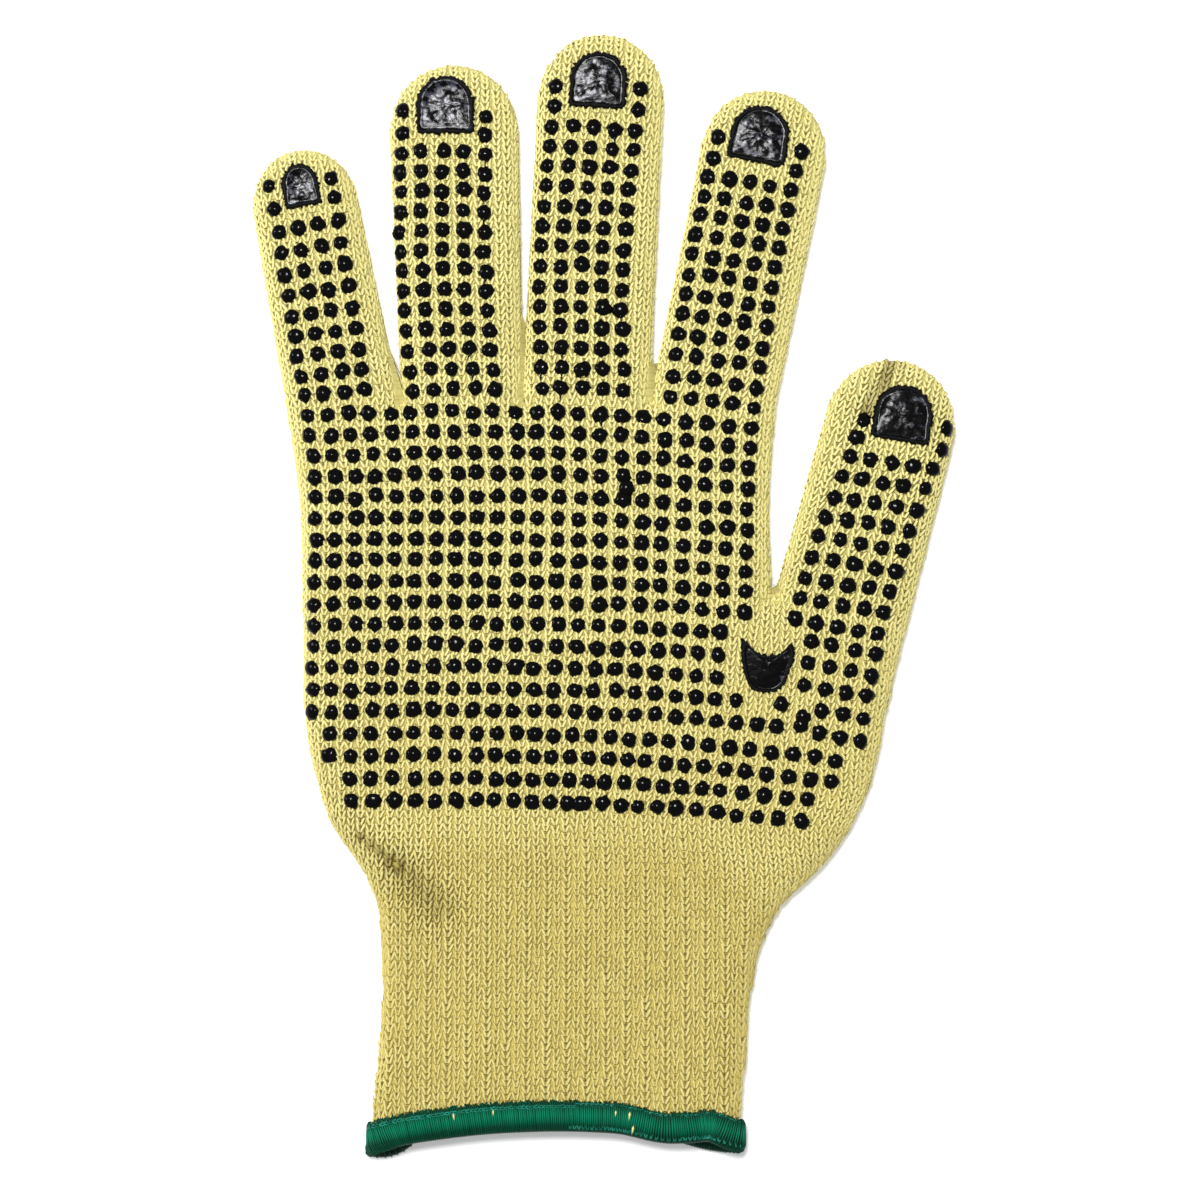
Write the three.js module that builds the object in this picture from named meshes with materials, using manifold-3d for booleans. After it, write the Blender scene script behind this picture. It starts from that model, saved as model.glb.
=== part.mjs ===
// A seamless knitted cut-resistant glove with moulded grip pads, for a right hand.
// It lies flat on its back with the palm side up. Millimetres.
// +X runs towards the thumb, +Y towards the fingertips and +Z up from the surface it lies on.
// The origin is on that surface, in the middle of the footprint.
// The glove is hollow and open at the wrist, so a hand goes in through the hem, the cuff and the palm.
// A glove machine knits it in one go, section by section: four finger stalls, the palm, the thumb's stall
// and the cuff. Each section is a solid here, with a slit where one passes into the next.
// The print of small grip dots is a finish of the cloth and isn't part of these solids.
import * as THREE from "three";
import { mergeVertices } from "three/addons/utils/BufferGeometryUtils.js";
import Module from "manifold-3d";

const wasm = await Module();
wasm.setup();

// Cloth
const CLOTH = 1.5; // thickness of the knit
const GAP = 0.3; // clearance between neighbouring pieces
const SEAM_SHARE = 0.45; // height where a flattened tube is widest, as a share of its thickness
const EDGE_POWER = 0.3; // squareness of a tube's section for each millimetre of its half width
const BASE_PRESS = 1.6; // how far the lower half would bulge through the surface that flattens it

// Fingers, a row each. The root is the middle of the finger where it joins the palm.
// lean is the turn from +Y towards +X in degrees.
const FINGERS = [
  { name: "little", rootX: -57.3, rootY: 43.5, length: 57, lean: -11.2, rootWidth: 26, tipWidth: 23.2 },
  { name: "ring", rootX: -31.5, rootY: 43.5, length: 75, lean: -1.5, rootWidth: 28, tipWidth: 28.7 },
  { name: "middle", rootX: -3.2, rootY: 43.5, length: 81.5, lean: 2.8, rootWidth: 29, tipWidth: 28 },
  { name: "index", rootX: 24.6, rootY: 43.5, length: 70.5, lean: 11.5, rootWidth: 27.8, tipWidth: 27.6 },
  { name: "thumb", rootX: 53.5, rootY: 1, length: 53.3, lean: 15, rootWidth: 31.2, tipWidth: 28.7 },
];
// Where each finger's stall starts, as a line across its foot, and the leans of the slits on its two sides.
const STALLS = [
  { finger: "little", left: { x: -80, y: 45, lean: -11 }, right: { x: -44.9, y: 45, lean: -7 } },
  { finger: "ring", left: { x: -44.9, y: 45, lean: -7 }, right: { x: -17.6, y: 45, lean: 1 } },
  { finger: "middle", left: { x: -17.6, y: 45, lean: 1 }, right: { x: 11, y: 45, lean: 7 } },
  { finger: "index", left: { x: 11, y: 45, lean: 7 }, right: { x: 44, y: 45, lean: 12 } },
  { finger: "thumb", left: { x: 38, y: 5, lean: 10 }, right: { x: 75, y: -5, lean: 15 } },
];
const STALL_REACH = 90; // longer than any stall
const ROOT_THICK = 9.2; // thickness of a finger's tube where it joins the palm
const TIP_THICK = 8.6;
const ROOT_DEPTH = 9; // how far a finger's tube reaches down into the palm

// Outline, lowest point and thickness of the hand from the knuckles to below the thumb's crotch.
const KNUCKLES = [
  { y: 43.5, left: -70.5, right: 38.5, low: 0, thick: 9.3 },
  { y: 20, left: -67.5, right: 37, low: 0, thick: 9.7 },
  { y: 1, left: -67, right: 37.5, low: 0, thick: 9.9 },
  { y: -9, left: -65, right: 37.5, low: 0, thick: 9.3 },
];
// The same from the thumb's crotch over the heel of the hand and the wrist to the cuff's straight mouth.
const HEEL = [
  { y: 1, left: -67, right: 69, low: 0, thick: 9.9 },
  { y: -12, left: -66.5, right: 66, low: 0, thick: 10 },
  { y: -25, left: -66.5, right: 63, low: 0, thick: 10 },
  { y: -40, left: -64, right: 60, low: 0, thick: 9.8 },
  { y: -52, left: -59.2, right: 55, low: 0, thick: 9.6 },
  { y: -60.5, left: -53.6, right: 48.8, low: 0, thick: 9.4 },
  { y: -69, left: -50.5, right: 40, low: 0, thick: 9.2 },
  { y: -78, left: -49.6, right: 35, low: 0, thick: 9.1 },
  { y: -91, left: -49.5, right: 32.5, low: 0.2, thick: 9.1 },
  { y: -105, left: -50.8, right: 31.2, low: 0.8, thick: 9.3 },
  { y: -109, left: -51.4, right: 30, low: 1, thick: 9.4 },
];
const BORDER = -52; // y where the palm passes into the cuff
const MOUTH = -115.5; // y of the cuff's edge at its middle
const FRONT_HANG = 4.4; // how much lower that edge hangs at its sides, on the palm side
const BACK_HANG = 7.2; // and on the back
const HANG_START = -66; // y from where the hang grows
const CROTCH_ROUND = 5; // radius over which the cloth turns down between two fingers
// A soft fold on the palm side, where the palm's fullness is gathered into the cuff beside the wrist.
const FOLD = { from: { x: -57, y: -53 }, to: { x: -34, y: -68 }, depth: 1.5, reach: 5 };

// Moulded pads: where their middle lies, their size and their turn, from +Y towards +X in degrees.
const PADS = [
  { name: "little_finger_pad", on: "little", x: -67.3, y: 91.1, width: 8, length: 9.2, turn: -10 },
  { name: "ring_finger_pad", on: "ring", x: -35.2, y: 109, width: 12.8, length: 12.8, turn: 0 },
  { name: "middle_finger_pad", on: "middle", x: -1.2, y: 114.5, width: 12.5, length: 12.2, turn: 4 },
  { name: "index_finger_pad", on: "index", x: 34.6, y: 102.4, width: 12.8, length: 12.4, turn: 11 },
  { name: "thumb_pad", on: "thumb", x: 66.3, y: 40.5, width: 12.8, length: 12.2, turn: 9 },
];
const CROTCH_PATCH = { name: "thumb_crotch_patch", x: 36, y: -15.2, width: 11.6, length: 12, turn: 6 };
const PAD_CORNER = 1; // radius of a pad's lower corners
// Right half of the crotch patch, from the notch between its horns to its foot, in shares of its half size.
const PATCH_CORNERS = [
  { out: 0, up: 0.45 },
  { out: 0.45, up: 0.65 },
  { out: 0.85, up: 1 },
  { out: 1, up: 0.75 },
  { out: 0.92, up: 0.1 },
  { out: 0.7, up: -0.65 },
  { out: 0.35, up: -0.95 },
  { out: 0, up: -1 },
];
// A pad from its underside to its sunken face: the share of its outline and the lift from its underside.
const PAD_LAYERS = [
  { share: 0.5, lift: 0 },
  { share: 1, lift: 0 },
  { share: 1, lift: 0.6 },
  { share: 0.92, lift: 0.9 },
  { share: 0.8, lift: 0.75 },
];

// The hem's section. out runs from the middle of the cloth outwards, down from the hem's upper edge.
const HEM_HEIGHT = 7;
const HEM_OUT = 1.65; // half its thickness
const HEM_SLOT = CLOTH / 2 + GAP; // half the width of the slot that holds the cuff's edge
const HEM_SLOT_DEPTH = 4.7;
const HEM_GRIP = 4.2; // how far the cuff's edge reaches into the slot
const HEM_PROFILE = [
  { out: HEM_SLOT, down: 0 },
  { out: HEM_SLOT, down: HEM_SLOT_DEPTH },
  { out: -HEM_SLOT, down: HEM_SLOT_DEPTH },
  { out: -HEM_SLOT, down: 0 },
  { out: -HEM_OUT + 0.2, down: 0 },
  { out: -HEM_OUT, down: 1 },
  { out: -HEM_OUT, down: 5.2 },
  { out: -HEM_OUT * 0.6, down: 6.6 },
  { out: 0, down: HEM_HEIGHT },
  { out: HEM_OUT * 0.6, down: 6.6 },
  { out: HEM_OUT, down: 5.2 },
  { out: HEM_OUT, down: 1 },
  { out: HEM_OUT - 0.2, down: 0 },
];

// Facets
const FINGER_SIDES = { skin: 20, hollow: 14 };
const FINGER_STEP = 24; // longest step between two sections of a finger
const ROUND_ANGLES = [90, 66, 46, 28, 12]; // round a tube's end, from its full size to its end
const BODY_SIDES = 32;
const BODY_STEP = 7.5;
const PAD_DIVISIONS = 6; // of a pad's round end
const PATCH_DIVISIONS = 24; // of the whole outline of the patch
const WELD = 0.001; // points closer than this are one point
const OVERRUN = 5; // how far a hollow runs past the end that it opens

const ARAMID = new THREE.MeshStandardMaterial({ color: 0xdccb7a, roughness: 0.92, metalness: 0 });
const HEM_THREAD = new THREE.MeshStandardMaterial({ color: 0x0f7350, roughness: 0.9, metalness: 0 });
const GRIP_PVC = new THREE.MeshStandardMaterial({ color: 0x17171b, roughness: 0.3, metalness: 0 });

// Height of a flattened tube's skin. across runs from -1 to 1 between its sides,
// and upper picks its upper or its lower half.
function skinHeight(across, { halfWidth, low, thick }, upper) {
  const seam = low + SEAM_SHARE * thick;
  const power = Math.max(2, EDGE_POWER * halfWidth);
  const reach = Math.sqrt(Math.max(0, 1 - Math.pow(Math.abs(across), power)));
  if (upper) return seam + (1 - SEAM_SHARE) * thick * reach;
  return Math.max(low, seam - BASE_PRESS * SEAM_SHARE * thick * reach);
}

// One closed section as [across, z] pairs, from the side at across 1 over the top and back along the base.
// Its points lie closer together round the sides than over the flat middle.
function section(size, sides) {
  const power = Math.max(2, EDGE_POWER * size.halfWidth);
  return Array.from({ length: sides }, (_, i) => {
    const turn = Math.cos((2 * Math.PI * i) / sides);
    const across = (turn + Math.sign(turn) * Math.pow(Math.abs(turn), 2 / power)) / 2;
    return [across, skinHeight(across, size, i < sides / 2)];
  });
}

// Sizes of palm and cuff at any y, on a smooth curve through a table's rows.
const COLUMNS = ["left", "right", "low", "thick"];
function curveThrough(rows) {
  const climbing = [...rows].reverse();
  const values = climbing.flatMap((row) => COLUMNS.map((column) => row[column]));
  const curve = new THREE.CubicInterpolant(climbing.map(({ y }) => y), values, COLUMNS.length);
  return (y) => {
    const [left, right, low, thick] = curve.evaluate(y);
    return { centre: (left + right) / 2, halfWidth: (right - left) / 2, low: Math.max(0, low), thick };
  };
}
const knuckleSize = curveThrough(KNUCKLES);
const heelSize = curveThrough(HEEL);

function inset(size, by) {
  return { ...size, halfWidth: size.halfWidth - by, low: size.low + by, thick: size.thick - 2 * by };
}

// A section thinned towards its seam, to a share of its thickness.
function thinned(size, share) {
  return { ...size, low: size.low + SEAM_SHARE * size.thick * (1 - share), thick: size.thick * share };
}

// How far the cuff's threads hang below a straight line at a point of a section.
// height runs from 0 on the back to 1 on the palm side.
function hang(y, across, height) {
  const grown = THREE.MathUtils.smoothstep(HANG_START - y, 0, HANG_START - MOUTH);
  return grown * across * across * THREE.MathUtils.lerp(BACK_HANG, FRONT_HANG, height);
}

// How deep the soft fold is at a point, with the same meaning of height.
function foldDepth(x, y, height) {
  const [from, to] = [FOLD.from, FOLD.to].map((end) => new THREE.Vector3(end.x, end.y, 0));
  const line = new THREE.Line3(from, to);
  const spot = new THREE.Vector3(x, y, 0);
  const away = line.closestPointToPoint(spot, true, new THREE.Vector3()).distanceTo(spot);
  return FOLD.depth * height * Math.exp(-Math.pow(away / FOLD.reach, 2));
}

// A section of palm or cuff. full is its outer size, by an inset and share what is left of its thickness.
function bodyRing(y, full, by, share = 1) {
  const size = thinned(inset(full, by), share);
  return section(size, BODY_SIDES).map(([across, z]) => {
    const height = (z - full.low) / full.thick;
    const x = size.centre + across * size.halfWidth;
    return new THREE.Vector3(x, y - hang(y, across, height), z - foldDepth(x, y, height));
  });
}

// Sections from one y down to another, with both ends and about a step between them.
function bodyRings(from, to, curve, by) {
  const steps = Math.ceil((from - to) / BODY_STEP);
  const ys = Array.from({ length: steps + 1 }, (_, i) => THREE.MathUtils.lerp(from, to, i / steps));
  return ys.map((y) => bodyRing(y, curve(y), by));
}

// The same with a round upper end, as where the cloth turns down between two fingers.
function roundTopped(from, to, curve, by) {
  const radius = CROTCH_ROUND - by;
  const end = ROUND_ANGLES.slice(1).reverse().map((angle) => {
    const turn = THREE.MathUtils.degToRad(angle);
    const y = from - by - radius * (1 - Math.cos(turn));
    return bodyRing(y, curve(y), by, Math.sin(turn));
  });
  return [...end, ...bodyRings(from - CROTCH_ROUND, to, curve, by)];
}

function fingerWays({ rootX, rootY, lean }) {
  const angle = THREE.MathUtils.degToRad(lean);
  return {
    root: new THREE.Vector3(rootX, rootY, 0),
    along: new THREE.Vector3(Math.sin(angle), Math.cos(angle), 0),
    across: new THREE.Vector3(Math.cos(angle), -Math.sin(angle), 0),
  };
}

// Share of the full size that is left at a distance before a round end.
function roundEnd(before, radius) {
  return Math.sqrt(Math.max(0, 1 - Math.pow(Math.max(0, 1 - before / radius), 2)));
}

// A finger's section at a distance from its root. by is an inset, as for the hollow inside.
function fingerSize(finger, distance, by) {
  const length = finger.length - by;
  const radius = finger.tipWidth / 2 - by;
  const width = THREE.MathUtils.mapLinear(distance, 0, length - radius, finger.rootWidth, finger.tipWidth);
  const thick = THREE.MathUtils.mapLinear(distance, 0, length, ROOT_THICK, TIP_THICK) - 2 * by;
  const left = length - distance;
  const halfWidth = (left < radius ? radius : width / 2 - by) * roundEnd(left, radius);
  return thinned({ halfWidth, low: by, thick }, roundEnd(left, thick / 2));
}

function fingerRings(finger, below, by) {
  const { root, along, across } = fingerWays(finger);
  const radius = finger.tipWidth / 2 - by;
  const straight = finger.length - by - radius;
  const steps = Math.ceil(straight / FINGER_STEP);
  const stations = [-below, ...Array.from({ length: steps }, (_, i) => (straight * i) / steps)];
  for (const angle of ROUND_ANGLES) {
    stations.push(straight + radius * Math.cos(THREE.MathUtils.degToRad(angle)));
  }
  return stations.map((distance) => {
    const size = fingerSize(finger, distance, by);
    const middle = root.clone().addScaledVector(along, distance);
    return section(size, by > 0 ? FINGER_SIDES.hollow : FINGER_SIDES.skin).map(([x, z]) =>
      middle.clone().addScaledVector(across, x * size.halfWidth).setZ(z),
    );
  });
}

// Triangles across the end of a tube, between its upper and its lower half.
function zipCap(ring) {
  const count = ring.length;
  const triangles = [];
  for (let i = 0; i < count / 2; i++) {
    const [a, b, c, d] = [ring[i], ring[i + 1], ring[count - i - 1], ring[(count - i) % count]];
    if (i < count / 2 - 1) triangles.push([a, b, c]);
    if (i > 0) triangles.push([a, c, d]);
  }
  return triangles;
}

// Triangles from a ring to its middle.
function fanCap(ring) {
  const middle = new THREE.Vector3();
  for (const point of ring) middle.addScaledVector(point, 1 / ring.length);
  return ring.map((point, i) => [point, ring[(i + 1) % ring.length], middle]);
}

// A solid between two like ends through rings of equal count. The volume's sign tells which way they turn.
function loft(rings, cap) {
  const triangles = [...cap(rings.at(-1)), ...cap(rings[0]).map(([a, b, c]) => [a, c, b])];
  for (let k = 0; k + 1 < rings.length; k++) triangles.push(...band(rings[k], rings[k + 1]));
  return solid(triangles);
}

// Triangles between two rings.
function band(ring, next) {
  return ring.flatMap((point, i) => {
    const j = (i + 1) % ring.length;
    return [
      [point, ring[j], next[j]],
      [point, next[j], next[i]],
    ];
  });
}

// A closed set of triangles as a solid that can be joined and cut, with its faces pointing out.
function solid(triangles) {
  const volume = triangles.reduce((sum, [a, b, c]) => sum + a.dot(b.clone().cross(c)), 0);
  const facing = volume > 0 ? triangles : triangles.map(([a, b, c]) => [a, c, b]);
  const positions = facing.flat().flatMap((point) => point.toArray());
  const loose = new THREE.BufferGeometry();
  loose.setAttribute("position", new THREE.Float32BufferAttribute(positions, 3));
  const merged = mergeVertices(loose, WELD);
  const vertProperties = merged.attributes.position.array;
  const triVerts = new Uint32Array(merged.index.array);
  return new wasm.Manifold(new wasm.Mesh({ numProp: 3, vertProperties, triVerts }));
}

function mesh(name, piece, material) {
  const { vertProperties, triVerts } = piece.getMesh();
  const geometry = new THREE.BufferGeometry();
  geometry.setAttribute("position", new THREE.BufferAttribute(vertProperties, 3));
  geometry.setIndex(new THREE.BufferAttribute(triVerts, 1));
  geometry.computeVertexNormals();
  const made = new THREE.Mesh(geometry, material);
  made.name = name;
  return made;
}

// The hand down to a y, as one body with its fingers. by insets it, as for the hollow inside.
function handSolid(to, by) {
  const knuckles = loft(roundTopped(KNUCKLES[0].y, KNUCKLES.at(-1).y, knuckleSize, by), zipCap);
  const heel = loft(roundTopped(HEEL[0].y, to, heelSize, by), zipCap);
  const fingers = FINGERS.map((finger) => loft(fingerRings(finger, ROOT_DEPTH, by), zipCap));
  return fingers.reduce((hand, finger) => hand.add(finger), knuckles.add(heel));
}

function stallName(finger) {
  return finger === "thumb" ? "thumb_stall" : `${finger}_finger_stall`;
}

// A block round a finger's stall, from its foot to past its tip. by is added all round.
function stallBlock({ left, right }, by) {
  const sides = [left, right].map(({ x, y, lean }, i) => {
    const foot = new THREE.Vector2(i ? x + by : x - by, y - by);
    const angle = THREE.MathUtils.degToRad(lean);
    return [foot, new THREE.Vector2(Math.sin(angle), Math.cos(angle)).multiplyScalar(STALL_REACH).add(foot)];
  });
  const outline = [sides[0][0], sides[1][0], sides[1][1], sides[0][1]];
  const level = (z) => outline.map(({ x, y }) => new THREE.Vector3(x, y, z));
  return loft([level(-OVERRUN), level(ROOT_THICK + OVERRUN)], fanCap);
}

// The hand's sections: its palm, open at the cuff and at each finger, and the stalls of the fingers.
function knitHand() {
  const hand = handSolid(BORDER + GAP / 2, 0).subtract(handSolid(BORDER - OVERRUN, CLOTH));
  const palm = STALLS.reduce((left, stall) => left.subtract(stallBlock(stall, GAP / 2)), hand);
  const stalls = STALLS.map((stall) => {
    const piece = hand.intersect(stallBlock(stall, -GAP / 2));
    return mesh(stallName(stall.finger), piece, ARAMID);
  });
  return [mesh("knit_palm", palm, ARAMID), ...stalls];
}

function knitCuff() {
  const tube = loft(bodyRings(BORDER - GAP / 2, MOUTH, heelSize, 0), zipCap);
  const hollow = loft(bodyRings(BORDER + OVERRUN, MOUTH - OVERRUN, heelSize, CLOTH), zipCap);
  return mesh("knit_cuff", tube.subtract(hollow), ARAMID);
}

// The hem's profile carried round the cuff's edge along the middle of the cloth.
function cuffHem() {
  const mouth = heelSize(MOUTH);
  const loops = HEM_PROFILE.map(({ out }) => bodyRing(MOUTH, mouth, CLOTH / 2 - out));
  const rings = bodyRing(MOUTH, mouth, CLOTH / 2).map(({ y }, i) =>
    HEM_PROFILE.map(({ down }, k) => loops[k][i].clone().setY(y + HEM_GRIP - down)),
  );
  const skin = rings.flatMap((ring, i) => band(ring, rings[(i + 1) % rings.length]));
  return mesh("cuff_hem", solid(skin), HEM_THREAD);
}

// Outline of a fingertip pad: a round end, straight sides and a straight lower edge.
function padOutline({ width, length }) {
  const [w, h] = [width / 2, length / 2];
  const shape = new THREE.Shape();
  shape.moveTo(w, -h + PAD_CORNER);
  shape.absellipse(0, 0, w, h, 0, Math.PI);
  shape.lineTo(-w, -h + PAD_CORNER);
  shape.quadraticCurveTo(-w, -h, -w + PAD_CORNER, -h);
  shape.lineTo(w - PAD_CORNER, -h);
  shape.quadraticCurveTo(w, -h, w, -h + PAD_CORNER);
  return shape.getPoints(PAD_DIVISIONS);
}

// Outline of the crotch patch: a smooth curve through its right half's corners and the left half's.
function patchOutline({ width, length }) {
  const [w, h] = [width / 2, length / 2];
  const right = PATCH_CORNERS.map(({ out, up }) => new THREE.Vector3(out * w, up * h, 0));
  const left = right.slice(1, -1).reverse().map(({ x, y }) => new THREE.Vector3(-x, y, 0));
  const curve = new THREE.CatmullRomCurve3([...right, ...left], true);
  return curve.getPoints(PATCH_DIVISIONS).map(({ x, y }) => new THREE.Vector2(x, y));
}

// A moulded piece that lies a gap above the skin. skin gives the skin's height at a point.
function moulding(pad, points, skin) {
  const outline = points.filter((point, i) => point.distanceTo(points.at(i - 1)) > WELD);
  const middle = new THREE.Vector2(pad.x, pad.y);
  const turn = THREE.MathUtils.degToRad(-pad.turn);
  const rings = PAD_LAYERS.map(({ share, lift }) =>
    outline.map((point) => {
      const spot = point.clone().multiplyScalar(share).rotateAround(new THREE.Vector2(), turn).add(middle);
      return new THREE.Vector3(spot.x, spot.y, skin(spot) + GAP + lift);
    }),
  );
  return mesh(pad.name, loft(rings, fanCap), GRIP_PVC);
}

function fingerPad(pad) {
  const finger = FINGERS.find(({ name }) => name === pad.on);
  const { root, along, across } = fingerWays(finger);
  return moulding(pad, padOutline(pad), ({ x, y }) => {
    const reach = new THREE.Vector3(x, y, 0).sub(root);
    const size = fingerSize(finger, reach.dot(along), 0);
    return skinHeight(reach.dot(across) / size.halfWidth, size, true);
  });
}

function crotchPatch() {
  return moulding(CROTCH_PATCH, patchOutline(CROTCH_PATCH), ({ x, y }) => {
    const size = heelSize(y);
    return skinHeight((x - size.centre) / size.halfWidth, size, true);
  });
}

const glove = new THREE.Group();
glove.add(...knitHand(), knitCuff(), cuffHem(), ...PADS.map(fingerPad), crotchPatch());

export default glove;
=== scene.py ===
# %% [markdown]
# # A knitted carving glove, lying flat with its palm side up
# The real glove comes off a knitting machine in one piece: five round-ended tubes for the fingers, a wider
# tube for the palm and a ribbed one for the cuff. Black rubbery dots and pads are then printed and moulded
# onto its palm side, and green thread is wrapped round the cut edge of the cuff. This lesson follows the
# same order. First comes the frame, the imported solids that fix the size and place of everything.

# %% Load the frame
import math

import bmesh
import bpy
import numpy as np
from mathutils import Matrix, Vector, noise
from mathutils.bvhtree import BVHTree


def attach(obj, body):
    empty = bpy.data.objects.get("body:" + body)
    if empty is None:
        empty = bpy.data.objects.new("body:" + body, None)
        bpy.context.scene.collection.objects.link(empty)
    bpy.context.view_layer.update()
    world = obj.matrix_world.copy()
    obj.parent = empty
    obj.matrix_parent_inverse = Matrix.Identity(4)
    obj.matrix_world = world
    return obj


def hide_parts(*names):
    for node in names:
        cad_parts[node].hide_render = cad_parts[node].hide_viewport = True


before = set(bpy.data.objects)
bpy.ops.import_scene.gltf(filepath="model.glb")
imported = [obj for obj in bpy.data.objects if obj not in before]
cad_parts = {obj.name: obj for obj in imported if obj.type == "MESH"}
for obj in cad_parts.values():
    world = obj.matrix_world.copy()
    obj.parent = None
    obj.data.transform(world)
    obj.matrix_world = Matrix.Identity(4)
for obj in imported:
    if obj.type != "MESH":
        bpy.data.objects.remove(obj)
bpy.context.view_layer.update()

MM = 0.001  # a millimetre, in Blender's metres


# %% [markdown]
# ## The outline
# Lying flat, the glove is almost a drawing: an outline with a nearly even thickness. Each finger is a
# tapered strip with a round end, and palm and cuff lie between a left and a right edge. They could be drawn
# as one long list of points, but a few named sizes and three smooth edges are easier to read and to correct.

# %% Sizes of the fingers and the edges of palm and cuff, in millimetres
KNUCKLES = 43.5  # y where the four fingers start
CROTCH = 1.0  # y where the thumb starts
MOUTH = -115.5  # y of the cuff's edge at its middle


def table(columns, rows):
    """Each row as a dict by the names of its columns. What a short row leaves out is 0."""
    names = columns.split()
    return [dict(zip(names, row + (0,) * (len(names) - len(row)))) for row in rows]


# For each finger: where its middle line starts, its length, its lean to the right in degrees, its widths at
# the root and at the tip, the place of its leftmost dotted wale beside the middle line, and a wale's width.
FINGERS = table("name x y length lean root tip dotted wale", [
    ("little", -58.1, KNUCKLES, 57.2, -10.9, 25.6, 23.8, -7.6, 2.27),
    ("ring", -31.65, KNUCKLES, 75.3, -1.73, 27.5, 29.2, -11.3, 2.34),
    ("middle", -4.0, KNUCKLES, 82.2, 2.8, 29, 28.6, -10.2, 2.3),
    ("index", 24.3, KNUCKLES, 70.8, 11.5, 28.2, 28.5, -10.4, 2.33),
    ("thumb", 53.8, CROTCH, 53.5, 15, 30.6, 29.4, -8.4, 2.31),
])


def curve_through(rows):
    """A smooth function through rows of (y, value). Beyond them it stays level."""
    ys, values = (np.array(column, float) for column in zip(*sorted(rows)))
    slopes = np.gradient(values, ys)

    def value_at(y):
        y = np.clip(y, ys[0], ys[-1])
        i = np.clip(np.searchsorted(ys, y) - 1, 0, len(ys) - 2)
        step = ys[i + 1] - ys[i]
        t = (y - ys[i]) / step
        ends = (1 - t) ** 2 * (1 + 2 * t) * values[i] + t**2 * (3 - 2 * t) * values[i + 1]
        return ends + t * (1 - t) * step * ((1 - t) * slopes[i] - t * slopes[i + 1])

    return value_at


left_edge = curve_through([
    (43.5, -71.0), (20, -67.9), (1, -67.4), (-12, -66.9), (-25, -66.9), (-40, -64.3), (-52, -60),
    (-60.5, -54.2), (-69, -50.6), (-78, -49.7), (-91, -49.6), (-105, -50.8), (-109, -51.4), (-117, -51.9)])
right_edge = curve_through([
    (1, 69.3), (-12, 66.2), (-25, 63.2), (-40, 60), (-52, 54.8), (-60.5, 48.5), (-69, 39.8), (-78, 35),
    (-91, 32.5), (-105, 31.5), (-109, 30.9), (-117, 30.4)])
palm_edge = curve_through([(43.5, 38.5), (20, 37), (1, 37.5), (-9, 37.5)])
for place, edge, y in (("knuckles", palm_edge, 43), ("palm", right_edge, -12), ("wrist", right_edge, -78)):
    print("width at the", place, round(float(edge(y) - left_edge(y)), 1))

# %% [markdown]
# ## The depth inside the outline
# How far a spot lies inside the outline decides how high the cloth stands there: at the edge it turns round,
# and a few millimetres further in it lies flat. Every strip gives its own depth. A soft maximum joins them,
# so that the cloth dips gently between two fingers instead of meeting in a sharp valley.

# %% Depth of a spot inside the glove's outline
ROOT_DEPTH = 9  # how far a finger's strip reaches down into the palm
BLEND = 0.3  # softness of the join between two strips
FAR = 1e3  # a depth that sets no limit
DEPTHS = (-30, 60)  # depths beyond these would be too much for the soft maximum's powers
SLOPE_REACH = 0.5  # an edge's slope is measured this far up and down


def ways(finger):
    """A finger's root and its directions along and across."""
    turn = math.radians(finger["lean"])
    along = np.array([math.sin(turn), math.cos(turn)])
    return np.array([finger["x"], finger["y"]]), along, np.array([along[1], -along[0]])


def straight(finger):
    """How far a finger runs on before its round tip begins."""
    return finger["length"] - finger["tip"] / 2


def half_width(finger, distance):
    return np.interp(distance, [0, straight(finger)], [finger["root"] / 2, finger["tip"] / 2])


def finger_depth(spots, finger):
    root, along, across = ways(finger)
    distance, aside = (spots - root) @ along, (spots - root) @ across
    middle = np.clip(distance, -ROOT_DEPTH, straight(finger))
    return half_width(finger, middle) - np.hypot(aside, distance - middle)


def edge_depth(x, y, edge, side):
    """Distance to a smooth edge of palm or cuff, on its inner side."""
    return side * (edge(y) - x) / np.hypot(1, edge(y + SLOPE_REACH) - edge(y - SLOPE_REACH))


def depth(spots):
    x, y = spots[..., 0], spots[..., 1]
    left, right = edge_depth(x, y, left_edge, -1), edge_depth(x, y, right_edge, 1)
    palm = np.minimum.reduce([left, palm_edge(y) - x, KNUCKLES - y, np.where(y < CROTCH, right, FAR)])
    heel = np.minimum.reduce([left, right, CROTCH - y])
    strips = [palm, heel] + [finger_depth(spots, finger) for finger in FINGERS]
    return BLEND * np.log(np.exp(np.clip(strips, *DEPTHS) / BLEND).sum(0))


palm_gap_outside = np.array([[0.0, 0.0], [-17.5, 60.0], [90.0, 0.0]])
print("depth in the palm, beside the ring finger and outside:", depth(palm_gap_outside).round(1))

# %% [markdown]
# ## The height of the cloth
# Two layers of springy knit lie on each other with a little air between them. The upper one is a low plateau
# with round edges. The lower one is pressed flat by its own weight. Beside the wrist the fullness of the
# palm is gathered into the cuff and leaves one soft slanting fold, and the whole palm is never quite level.

# %% Heights of the upper and the lower skin
UP, DOWN = 1, -1  # the palm side and the back
THICKNESS = curve_through([(124, 8.6), (43.5, 9.2), (20, 9.6), (0, 9.8), (-40, 9.7), (-60, 9.4), (-91, 9.1),
                           (-117, 9.4)])
LIFT = curve_through([(-60, 0), (-78, 0), (-91, 0.2), (-105, 0.8), (-117, 1.1)])
SEAM = 0.45  # height where the edge is widest, as a share of the thickness
EDGE_ROUND = 6.5  # how far in the edge's rounding reaches
PRESS = 1.6  # the back curves in this many times faster, and so is flat sooner
YARN_ROOM = 0.5  # the stitches stand this far out of the cloth that carries them
BROAD_WAVE, FINE_WAVE = 0.16, 0.08
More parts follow.
